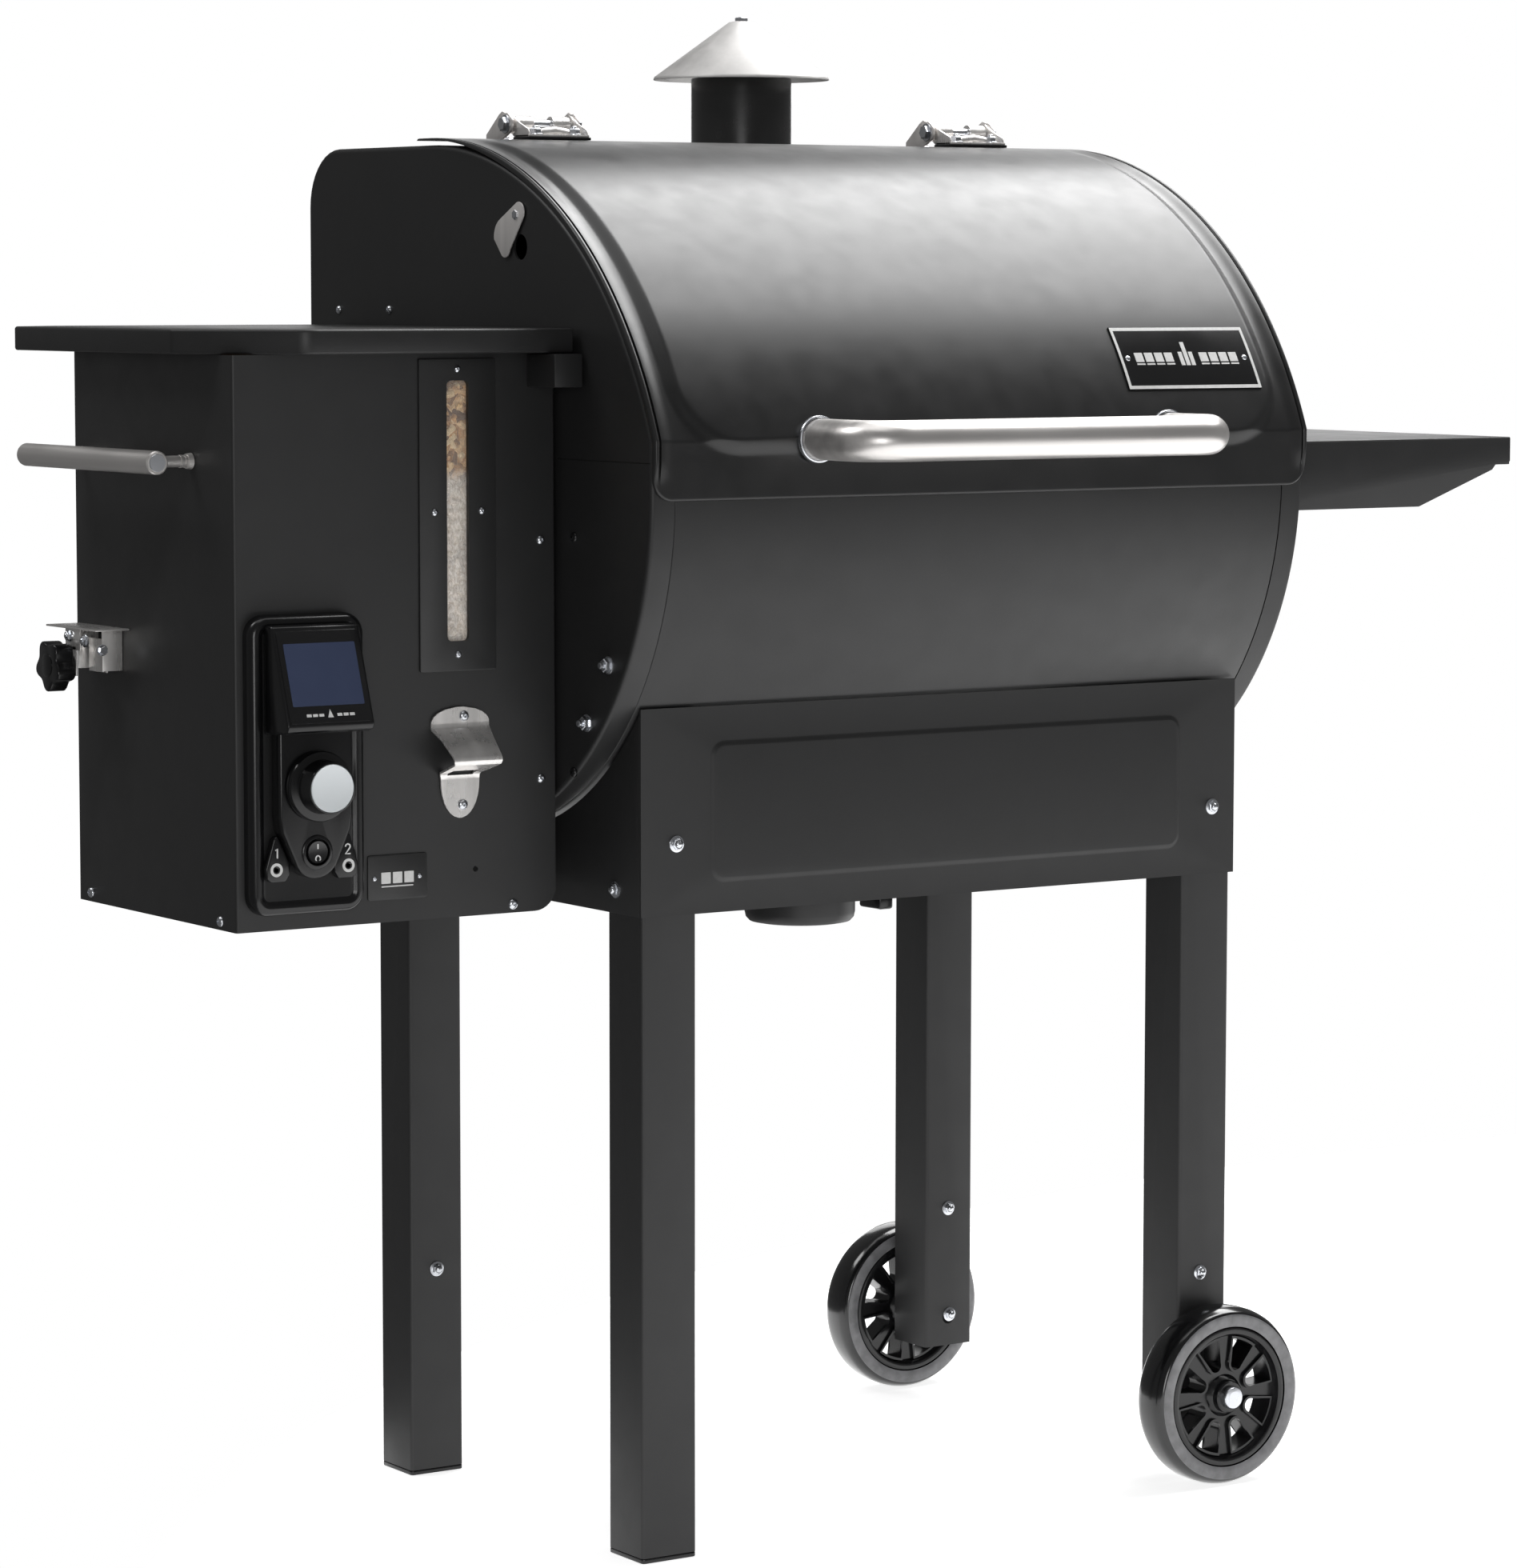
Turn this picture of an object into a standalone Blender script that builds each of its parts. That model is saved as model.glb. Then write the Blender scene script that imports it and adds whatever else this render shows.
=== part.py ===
"""Pellet smoker grill: every rigid piece of the design, in metres, +Z up, front towards -Y.

The barrel's section is drawn in the Y-Z plane and carried along X.
Helpers come first, then one function for each group of pieces.
"""
import math

import bmesh
import bpy
from mathutils import Matrix, Vector

# Clearances and sheet
GAP = 0.0003
SHEET = 0.002
MERGE = 0.00002

# Leg frame
LEG_X = 0.300
LEG_Y = 0.2145
LEG_W = 0.052
LEG_WALL = 0.002
LEG_TOP = 0.690
RIGHT_LEG_BOTTOM = 0.051
FOOT_H = 0.004
APRON_BOTTOM = 0.5285
APRON_TOP = 0.696
REAR_APRON_TOP = 0.662
SADDLE_GAP = 0.003

# Barrel section
BARREL_X = 0.328
PANEL_FLANGE = 0.022
LOW_Y = 0.0145
LOW_Z = 0.872
LOW_R = 0.288
UP_Y = 0.0715
UP_Z = 0.7785
UP_R = 0.370
BACK_Y = 0.281
CORNER_R = 0.050
SHELL_LIP_Z = 0.900
BACK_SEAM_Z = 0.770
TOP_EDGE_Y = 0.100

# Lid and its hinge line
LID_GAP = 0.006
LID_X = 0.3285
LID_FRONT_Y = -0.280
LID_LIP_Z = 0.864
LID_REAR_Y = 0.0915
HINGE_Y = 0.095
HINGE_Z = 1.168
HINGE_LEFT = -0.206
HINGE_RIGHT = 0.230
HINGE_HALF = 0.034
HANDLE_Y = -0.357
HANDLE_Z = 0.911
HANDLE_X = 0.176
HANDLE_R = 0.0165
HANDLE_BEND = 0.030
PLATE_X = 0.2175
PLATE_HALF = 0.0705
PLATE_LOW_Z = 0.9455
PLATE_HIGH_Z = 0.9965

# Chimney
FLUE_X = 0.1593
FLUE_Y = 0.340
FLUE_R = 0.0464
FLUE_TOP = 1.2225
FLUE_STUB_Z = 1.026
CAP_R = 0.0812
CAP_RIM_Z = 1.2226
CAP_TOP_Z = 1.2746
CAP_FLAT_R = 0.0095
BRIDGE_Z = 1.188

# Probe port
PORT_Y = -0.0717
PORT_Z = 1.0896

# Pellet hopper
HOP_LEFT = -0.6217
HOP_RIGHT = -0.3302
HOP_FRONT = -0.132
HOP_BACK = 0.144
HOP_BOTTOM = 0.529
HOP_TOP = 0.979
HLID_LEFT = -0.650
HLID_RIGHT = -0.332
HLID_FRONT = -0.165
HLID_BACK = 0.232
HLID_BOTTOM = 0.9793
HLID_TOP = 0.9988
HLID_AXIS_Y = 0.1520
HLID_AXIS_Z = 0.9720
WIN_X = -0.4215
WIN_HALF = 0.035
WIN_LOW = 0.7266
WIN_HIGH = 0.975
SLOT_HALF = 0.010
SLOT_LOW = 0.7505
SLOT_HIGH = 0.9576
BIN_OUT_X = -0.500
BIN_OUT_HALF = 0.030
BIN_OUT_Z = 0.662
BAR_X = -0.6635
BAR_Z = 0.8954
BAR_R = 0.0093
BAR_FRONT = -0.087
BAR_BACK = 0.146

# Controller on the hopper's front
CTL_X = -0.5635
CASE_HALF = 0.051
CTL_LOW = 0.5417
CTL_HIGH = 0.7775
CTL_DEPTH = 0.013
HOOD_HALF = 0.0373
HOOD_LOW = 0.6905
HOOD_HIGH = 0.768
HOOD_TOP_OUT = 0.0245
HOOD_OUT = 0.050
PANEL_OUT = 0.0247
KNOB_Z = 0.644
KNOB_R = 0.0207
KNOB_LEN = 0.0242
SWITCH_Z = 0.592
SWITCH_FRONT = 0.0262
SWITCH_BACK = 0.0185

# Bottle opener
OPEN_X = -0.4205

# Clean-out on the hopper's left side
CLEAN_Y = 0.094
CLEAN_Z = 0.727
CLEAN_X = -0.651

# Side shelf
SHELF_RIGHT = 0.628
SHELF_HALF_Y = 0.200
SHELF_TOP = 0.898
SHELF_LIP = 0.0245
SHELF_LEFT = 0.3303

# Wheels
WHEEL_X = 0.2735
WHEEL_R = 0.0775
WHEEL_IN = 0.0615
WHEEL_NEAR = 0.2205
WHEEL_WIDTH = 0.0355
AXLE_R = 0.006
SPOKES = 8

# Fire and ash
FIRE_X = -0.003
FIRE_R = 0.048
ASH_BOTTOM = 0.484
ASH_TOP = 0.5680
AUGER_Z = 0.632
AUGER_R = 0.0215
AUGER_TUBE_R = 0.0255


# The middle of the whole grill's footprint is put at the world's origin
SHIFT_X = -(SHELF_RIGHT + BAR_X - BAR_R) / 2
SHIFT_Y = -(FLUE_Y + CAP_R + HANDLE_Y - HANDLE_R) / 2


def clear_scene():
    for ob in list(bpy.data.objects):
        bpy.data.objects.remove(ob, do_unlink=True)


def make_collection(name):
    col = bpy.data.collections.new(name)
    bpy.context.scene.collection.children.link(col)
    return col


clear_scene()
PARTS = make_collection("pellet_smoker_grill")
CUTTERS = make_collection("cutters")


def paint(name, colour, roughness, metallic, alpha=1.0):
    mat = bpy.data.materials.new(name)
    mat.use_nodes = True
    bsdf = mat.node_tree.nodes["Principled BSDF"]
    bsdf.inputs["Base Color"].default_value = (*colour, 1.0)
    bsdf.inputs["Roughness"].default_value = roughness
    bsdf.inputs["Metallic"].default_value = metallic
    bsdf.inputs["Alpha"].default_value = alpha
    return mat


FINISHES = {
    "powder": ((0.030, 0.030, 0.031), 0.42, 0.0),
    "stainless": ((0.62, 0.60, 0.58), 0.28, 1.0),
    "zinc": ((0.60, 0.61, 0.63), 0.35, 1.0),
    "plastic": ((0.020, 0.020, 0.021), 0.38, 0.0),
    "porcelain": ((0.035, 0.035, 0.036), 0.30, 0.0),
    "raw_steel": ((0.30, 0.29, 0.28), 0.50, 1.0),
    "tyre": ((0.46, 0.47, 0.49), 0.35, 0.0),
    "screen": ((0.33, 0.40, 0.53), 0.15, 0.0),
    "glass": ((0.80, 0.80, 0.78), 0.08, 0.0),
    "printed": ((0.06, 0.06, 0.06), 0.30, 0.0),
}


def finish(name, kind):
    colour, roughness, metallic = FINISHES[kind]
    alpha = 0.35 if kind == "glass" else 1.0
    return paint(name, colour, roughness, metallic, alpha)


def add_part(name, bm, kind, origin=(0.0, 0.0, 0.0), smooth=False):
    """Make one named part; its object's origin is put where its joint or centre is."""
    bmesh.ops.remove_doubles(bm, verts=bm.verts[:], dist=MERGE)
    bmesh.ops.recalc_face_normals(bm, faces=bm.faces[:])
    bmesh.ops.translate(bm, verts=bm.verts[:], vec=-Vector(origin))
    for face in bm.faces:
        face.smooth = smooth
    mesh = bpy.data.meshes.new(name)
    bm.to_mesh(mesh)
    bm.free()
    ob = bpy.data.objects.new(name, mesh)
    ob.location = Vector(origin) + Vector((SHIFT_X, SHIFT_Y, 0.0))
    ob.data.materials.append(finish(name + "_finish", kind))
    PARTS.objects.link(ob)
    return ob


def add_cutter(name, bm):
    bmesh.ops.recalc_face_normals(bm, faces=bm.faces[:])
    mesh = bpy.data.meshes.new(name)
    bm.to_mesh(mesh)
    bm.free()
    ob = bpy.data.objects.new(name, mesh)
    ob.hide_render = True
    ob.display_type = "WIRE"
    ob.location = (SHIFT_X, SHIFT_Y, 0.0)
    CUTTERS.objects.link(ob)
    return ob


def boolean(target, bm, name, operation="DIFFERENCE"):
    mod = target.modifiers.new(name, "BOOLEAN")
    mod.operation = operation
    mod.solver = "EXACT"
    mod.object = add_cutter(name, bm)


def box(lo, hi):
    bm = bmesh.new()
    size = Vector(hi) - Vector(lo)
    centre = (Vector(hi) + Vector(lo)) / 2
    bmesh.ops.create_cube(bm, size=1.0)
    bmesh.ops.scale(bm, vec=size, verts=bm.verts[:])
    bmesh.ops.translate(bm, vec=centre, verts=bm.verts[:])
    return bm


TO_AXIS = {
    "X": Matrix(((0, 0, 1), (1, 0, 0), (0, 1, 0))).to_4x4(),
    "Y": Matrix(((1, 0, 0), (0, 0, -1), (0, 1, 0))).to_4x4(),
    "Z": Matrix.Identity(4),
}


def prism(outline, lo, hi, axis="X"):
    """Carry a closed outline from lo to hi. Outline pairs are (Y, Z), (X, Z) or (X, Y)."""
    bm = bmesh.new()
    if axis == "Y":
        base = [bm.verts.new((a, lo, b)) for a, b in outline]
        move = (0.0, hi - lo, 0.0)
    elif axis == "X":
        base = [bm.verts.new((lo, a, b)) for a, b in outline]
        move = (hi - lo, 0.0, 0.0)
    else:
        base = [bm.verts.new((a, b, lo)) for a, b in outline]
        move = (0.0, 0.0, hi - lo)
    face = bm.faces.new(base)
    side = bmesh.ops.extrude_face_region(bm, geom=[face])
    moved = [item for item in side["geom"] if isinstance(item, bmesh.types.BMVert)]
    bmesh.ops.translate(bm, vec=move, verts=moved)
    bmesh.ops.recalc_face_normals(bm, faces=bm.faces[:])
    return bm


def lathe(profile, centre, axis="Z", steps=24):
    """Turn a closed profile of (radius, height) pairs about an axis through centre."""
    bm = bmesh.new()
    verts = [bm.verts.new((r, 0.0, h)) for r, h in profile]
    edges = [bm.edges.new((a, b)) for a, b in zip(verts, verts[1:] + verts[:1]) if a is not b]
    bmesh.ops.spin(bm, geom=verts + edges, cent=(0, 0, 0), axis=(0, 0, 1), dvec=(0, 0, 0),
                   angle=math.tau, steps=steps, use_merge=False, use_duplicate=False)
    bmesh.ops.remove_doubles(bm, verts=bm.verts[:], dist=MERGE)
    flat = [face for face in bm.faces if face.calc_area() < 1e-12]
    bmesh.ops.delete(bm, geom=flat, context="FACES_ONLY")
    loose = [edge for edge in bm.edges if not edge.link_faces]
    bmesh.ops.delete(bm, geom=loose, context="EDGES")
    bmesh.ops.transform(bm, matrix=TO_AXIS[axis], verts=bm.verts[:])
    bmesh.ops.translate(bm, vec=centre, verts=bm.verts[:])
    bmesh.ops.recalc_face_normals(bm, faces=bm.faces[:])
    return bm


def rod(radius, start, length, axis="Z", steps=16):
    """A solid cylinder that begins at start and runs along +axis, or along -Y for axis Y."""
    bm = bmesh.new()
    bmesh.ops.create_cone(bm, cap_ends=True, segments=steps, radius1=radius, radius2=radius, depth=length)
    bmesh.ops.translate(bm, vec=(0, 0, length / 2), verts=bm.verts[:])
    bmesh.ops.transform(bm, matrix=TO_AXIS[axis], verts=bm.verts[:])
    bmesh.ops.translate(bm, vec=start, verts=bm.verts[:])
    return bm


def arc(cy, cz, radius, start, end, steps):
    """Points on an arc; start and end are angles in radians."""
    turn = (end - start) / steps
    return [(cy + radius * math.cos(start + turn * i), cz + radius * math.sin(start + turn * i))
            for i in range(steps + 1)]


def ring_points(cx, cy, radius, steps):
    return arc(cx, cy, radius, 0.0, math.tau, steps)[:-1]


def rounded(x0, x1, z0, z1, radius, steps=4):
    """A rectangle with rounded corners, anticlockwise."""
    corners = ((x1 - radius, z1 - radius, 0), (x0 + radius, z1 - radius, 1),
               (x0 + radius, z0 + radius, 2), (x1 - radius, z0 + radius, 3))
    points = []
    for cx, cz, quarter in corners:
        points += arc(cx, cz, radius, quarter * math.pi / 2, (quarter + 1) * math.pi / 2, steps)
    return points


def ribbon(path, thickness):
    """A closed outline for a sheet whose outer face follows path and whose metal lies to its left."""
    inner = []
    for i, (a, b) in enumerate(path):
        before = Vector(path[max(i - 1, 0)])
        after = Vector(path[min(i + 1, len(path) - 1)])
        here = Vector((a, b))
        first = (here - before).normalized() if i else (after - here).normalized()
        second = (after - here).normalized() if i < len(path) - 1 else first
        middle = (first + second).normalized()
        normal = Vector((-middle.y, middle.x))
        stretch = thickness / max(0.5, normal.dot(Vector((-first.y, first.x))))
        inner.append(tuple(here + normal * stretch))
    return list(path) + inner[::-1]


# Barrel section

def low_arc(inset, steps, end=-math.pi):
    radius = LOW_R - inset
    start = -math.acos((BACK_Y - inset - LOW_Y) / radius)
    return arc(LOW_Y, LOW_Z, radius, start, end, steps)


def up_arc(outset, front_y, steps):
    radius = UP_R + outset
    start = math.pi - math.asin(math.sqrt(radius ** 2 - (UP_Y - front_y) ** 2) / radius)
    return arc(UP_Y, UP_Z, radius, start, math.pi / 2, steps)


def section(inset):
    """The barrel's whole D-shaped outline, clockwise seen from +X, moved in by inset."""
    corner = arc(BACK_Y - CORNER_R, UP_Z + UP_R - CORNER_R, CORNER_R - inset, math.pi / 2, 0.0, 4)
    front_y = LOW_Y - LOW_R + inset
    return low_arc(inset, 18) + up_arc(-inset, front_y, 12) + corner


def end_panel(name, side):
    outer = side * BARREL_X
    inner = side * (BARREL_X - PANEL_FLANGE)
    panel = add_part(name, prism(section(0.0), min(outer, inner), max(outer, inner)), "powder")
    hollow_outer = side * (BARREL_X - SHEET)
    hollow_inner = side * (BARREL_X - PANEL_FLANGE - 0.01)
    lo = min(hollow_outer, hollow_inner)
    hi = max(hollow_outer, hollow_inner)
    boolean(panel, prism(section(SHEET), lo, hi), name + "_hollow")
    return panel


def build_barrel():
    left = end_panel("end_panel_left", -1)
    end_panel("end_panel_right", 1)
    boolean(left, rod(0.0105, (-BARREL_X - 0.01, PORT_Y - 0.004, PORT_Z - 0.026), 0.03, "X"), "probe_hole")
    boolean(left, rod(AUGER_TUBE_R + GAP, (-BARREL_X - 0.01, 0.0, AUGER_Z), 0.03, "X", 20), "auger_hole")
    boolean(left, rod(0.0048, (-BARREL_X - 0.01, 0.036, AUGER_Z), 0.03, "X", 10), "igniter_hole")
    boolean(left, rod(0.0032, (-BARREL_X - 0.01, 0.110, 0.905), 0.03, "X", 10), "sensor_hole")

    reach = BARREL_X - PANEL_FLANGE - GAP
    front_y = LOW_Y - LOW_R
    wrap = [(BACK_Y, BACK_SEAM_Z)] + low_arc(0.0, 22) + [(front_y, SHELL_LIP_Z)]
    shell = add_part("barrel_shell", prism(ribbon(wrap[::-1], SHEET), -reach, reach), "powder")
    boolean(shell, rod(0.040, (FIRE_X, 0.0, 0.55), 0.06, "Z", 20), "ash_hole")

    corner = arc(BACK_Y - CORNER_R, UP_Z + UP_R - CORNER_R, CORNER_R, 0.0, math.pi / 2, 6)
    back = [(BACK_Y, BACK_SEAM_Z + GAP)] + corner + [(TOP_EDGE_Y, UP_Z + UP_R)]
    rear = add_part("rear_panel", prism(ribbon(back, SHEET), -reach, reach), "powder")
    boolean(rear, rod(FLUE_R - SHEET, (FLUE_X, BACK_Y + 0.01, FLUE_STUB_Z), 0.03, "Y", 24), "flue_hole")


def build_lid():
    top_z = UP_Z + UP_R + LID_GAP
    path = [(LID_FRONT_Y, LID_LIP_Z)] + up_arc(LID_GAP, LID_FRONT_Y, 16) + [(LID_REAR_Y, top_z)]
    outline = ribbon(path[::-1], SHEET)
    add_part("grill_lid", prism(outline, -LID_X, LID_X), "powder", (0.0, HINGE_Y, HINGE_Z))

    lid_radius = UP_R + LID_GAP + GAP
    start = math.pi - math.asin((PLATE_LOW_Z - UP_Z) / lid_radius)
    end = math.pi - math.asin((PLATE_HIGH_Z - UP_Z) / lid_radius)
    face = arc(UP_Y, UP_Z, lid_radius + 0.0012, start, end, 3)
    under = arc(UP_Y, UP_Z, lid_radius + 0.0003, start, end, 3)
    plate = prism(face + under[::-1], PLATE_X - PLATE_HALF, PLATE_X + PLATE_HALF)
    add_part("nameplate", plate, "printed", (0.0, HINGE_Y, HINGE_Z))


def swept_tube(path, radius, sides):
    """A solid round bar that follows a path lying in a plane of constant Z."""
    bm = bmesh.new()
    rings = []
    for i, point in enumerate(path):
        before = Vector(path[max(i - 1, 0)])
        after = Vector(path[min(i + 1, len(path) - 1)])
        along = (after - before).normalized()
        out = along.cross(Vector((0, 0, 1)))
        ring = []
        for k in range(sides):
            angle = math.tau * k / sides
            offset = out * math.cos(angle) + Vector((0, 0, 1)) * math.sin(angle)
            ring.append(bm.verts.new(Vector(point) + offset * radius))
        rings.append(ring)
    for first, second in zip(rings, rings[1:]):
        for k in range(sides):
            bm.faces.new((first[k], first[(k + 1) % sides], second[(k + 1) % sides], second[k]))
    bm.faces.new(rings[0])
    bm.faces.new(rings[-1][::-1])
    return bm


def build_lid_handle():
    foot_y = LID_FRONT_Y - 0.0005
    bend = HANDLE_BEND
    path = [Vector((-HANDLE_X, foot_y, HANDLE_Z))]
    for cx, start in ((-HANDLE_X + bend, math.pi), (HANDLE_X - bend, 1.5 * math.pi)):
        turn = arc(cx, HANDLE_Y + bend, bend, start, start + math.pi / 2, 5)
        path += [Vector((x, y, HANDLE_Z)) for x, y in turn]
    path.append(Vector((HANDLE_X, foot_y, HANDLE_Z)))
    bar = swept_tube(path, HANDLE_R, 16)
    handle = add_part("lid_handle", bar, "stainless", (0.0, HINGE_Y, HINGE_Z), True)
    for side, tag in ((-1, "left"), (1, "right")):
        collar = rod(0.0190, (side * HANDLE_X, foot_y, HANDLE_Z), 0.005, "Y", 20)
        boolean(handle, collar, "collar_" + tag, "UNION")


def build_hinges():
    base_z = UP_Z + UP_R + GAP
    lid_z = UP_Z + UP_R + LID_GAP + GAP
    for cx, tag in ((HINGE_LEFT, "left"), (HINGE_RIGHT, "right")):
        ear = [(0.1035, base_z), (0.128, base_z), (0.128, base_z + 0.012), (0.104, 1.1775),
               (0.092, 1.1790), (0.0865, 1.1735), (0.0865, 1.1600), (0.1015, 1.1590)]
        bracket = add_part("hinge_bracket_" + tag,
                           box((cx - HINGE_HALF, 0.104, base_z), (cx + HINGE_HALF, 0.128, base_z + 0.0025)),
                           "stainless")
        for end in (-1, 1):
            outer = cx + end * HINGE_HALF
            inner = cx + end * (HINGE_HALF - 0.003)
            boolean(bracket, prism(ear, min(outer, inner), max(outer, inner)), "ear_%s_%d" % (tag, end), "UNION")
        pin = rod(0.0042, (cx - HINGE_HALF - 0.004, HINGE_Y, HINGE_Z), 2 * HINGE_HALF + 0.008, "X", 14)
        boolean(bracket, pin, "hinge_pin_" + tag, "UNION")

        reach = HINGE_HALF - 0.0055
        leaf = add_part("hinge_leaf_" + tag, rod(0.0085, (cx - reach, HINGE_Y, HINGE_Z), 2 * reach, "X", 16),
                        "stainless", (cx, HINGE_Y, HINGE_Z))
        tongue = [(0.064, lid_z), (0.0895, lid_z), (0.0935, 1.1605), (0.0895, 1.1640), (0.0855, lid_z + 0.0030),
                  (0.064, lid_z + 0.0025)]
        boolean(leaf, prism(tongue, cx - reach, cx + reach), "leaf_" + tag, "UNION")
        bore = rod(0.0045, (cx - HINGE_HALF, HINGE_Y, HINGE_Z), 2 * HINGE_HALF, "X", 14)
        boolean(leaf, bore, "leaf_bore_" + tag)


def build_frame():
    for name, sx, sy, bottom in (("leg_front_left", -1, -1, FOOT_H + GAP), ("leg_rear_left", -1, 1, FOOT_H + GAP),
                                 ("leg_front_right", 1, -1, RIGHT_LEG_BOTTOM),
                                 ("leg_rear_right", 1, 1, RIGHT_LEG_BOTTOM)):
        x_out, x_in = sx * LEG_X, sx * (LEG_X - LEG_W)
        y_out, y_in = sy * LEG_Y, sy * (LEG_Y - LEG_W)
        x0, x1 = sorted((x_out, x_in))
        y0, y1 = sorted((y_out, y_in))
        leg = add_part(name, box((x0, y0, bottom), (x1, y1, LEG_TOP)), "powder")
        hollow = box((x0 + LEG_WALL, y0 + LEG_WALL, bottom - 0.01), (x1 - LEG_WALL, y1 - LEG_WALL, LEG_TOP + 0.01))
        boolean(leg, hollow, name + "_hollow")
        boolean(leg, barrel_clearance(x0, x1), name + "_saddle")
        if sx > 0:
            drill = rod(AXLE_R + GAP, (WHEEL_X, max(y0, y1) + 0.01, WHEEL_R), LEG_W + 0.02, "Y", 16)
            boolean(leg, drill, name + "_drill")
        else:
            foot = "foot" + name[3:]
            cap = add_part(foot, box((x0, y0, 0.0), (x1, y1, FOOT_H)), "plastic")
            slack = LEG_WALL + GAP
            plug = box((x0 + slack, y0 + slack, FOOT_H / 2), (x1 - slack, y1 - slack, FOOT_H + 0.020))
            boolean(cap, plug, foot + "_plug", "UNION")

    face = LEG_Y + GAP
    edge = LEG_X + GAP + SHEET
    for name, sy in (("apron_front", -1), ("apron_rear", 1)):
        y0, y1 = sorted((sy * face, sy * (face + SHEET)))
        top = APRON_TOP if sy < 0 else REAR_APRON_TOP
        add_part(name, box((-edge, y0, APRON_BOTTOM), (edge, y1, top)), "powder")
    for name, sx in (("apron_left", -1), ("apron_right", 1)):
        x0, x1 = sorted((sx * (LEG_X + GAP), sx * edge))
        side = add_part(name, box((x0, -LEG_Y, APRON_BOTTOM), (x1, LEG_Y, APRON_TOP - 0.004)), "powder")
        boolean(side, barrel_clearance(x0, x1), name + "_saddle")


def barrel_clearance(x0, x1):
    """The barrel's outline moved out a little, so that what stands under it stops just short of it."""
    return prism(section(-SADDLE_GAP), x0 - 0.01, x1 + 0.01)


def build_chimney():
    pipe = add_part("chimney_pipe", rod(FLUE_R, (FLUE_X, FLUE_Y, FLUE_STUB_Z - FLUE_R), FLUE_TOP - FLUE_STUB_Z
                                        + FLUE_R, "Z", 28), "powder", (FLUE_X, FLUE_Y, FLUE_STUB_Z), True)
    stub_start = (FLUE_X, FLUE_Y, FLUE_STUB_Z)
    stub = FLUE_Y - BACK_Y - GAP
    boolean(pipe, rod(FLUE_R - 0.0002, stub_start, stub, "Y", 28), "flue_stub", "UNION")
    flange = rounded(FLUE_X - 0.060, FLUE_X + 0.060, FLUE_STUB_Z - 0.060, FLUE_STUB_Z + 0.060, 0.008, 2)
    boolean(pipe, prism(flange, BACK_Y + GAP, BACK_Y + GAP + SHEET, "Y"), "flue_flange", "UNION")
    inner = FLUE_R - SHEET
    boolean(pipe, rod(inner, (FLUE_X, FLUE_Y, FLUE_STUB_Z - inner), 0.30, "Z", 28), "flue_bore")
    boolean(pipe, rod(inner - 0.0002, stub_start, stub + 0.01, "Y", 28), "stub_bore")
    strap = box((FLUE_X - inner - 0.001, FLUE_Y - 0.007, BRIDGE_Z), (FLUE_X + inner + 0.001, FLUE_Y + 0.007,
                                                                    BRIDGE_Z + 0.0025))
    boolean(pipe, strap, "cap_bridge", "UNION")
    boolean(pipe, rod(0.003, (FLUE_X, FLUE_Y, BRIDGE_Z + 0.001), 0.0897, "Z", 12), "cap_rod", "UNION")

    bore = 0.0035
    nut_top = CAP_TOP_Z + 0.0036
    cone = [(bore, CAP_TOP_Z - 0.002), (CAP_FLAT_R, CAP_TOP_Z - 0.002), (CAP_R - 0.0012, CAP_RIM_Z - 0.0008),
            (CAP_R, CAP_RIM_Z), (CAP_FLAT_R, CAP_TOP_Z), (0.0065, CAP_TOP_Z), (0.0065, nut_top), (bore, nut_top)]
    add_part("chimney_cap", lathe(cone, (FLUE_X, FLUE_Y, 0.0), "Z", 28), "stainless",
             (FLUE_X, FLUE_Y, CAP_TOP_Z))


def build_probe_flap():
    tip = arc(PORT_Y - 0.0045, PORT_Z + 0.0020, 0.0085, math.radians(70), math.radians(205), 4)
    low = arc(PORT_Y + 0.0172, PORT_Z - 0.0265, 0.0080, math.radians(195), math.radians(325), 4)
    back = arc(PORT_Y + 0.0185, PORT_Z - 0.0180, 0.0160, math.radians(-5), math.radians(65), 3)
    flap = prism(tip + low + back, -BARREL_X - 0.0023, -BARREL_X - 0.0012)
    add_part("probe_flap", flap, "stainless", (-BARREL_X, PORT_Y, PORT_Z))


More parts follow.
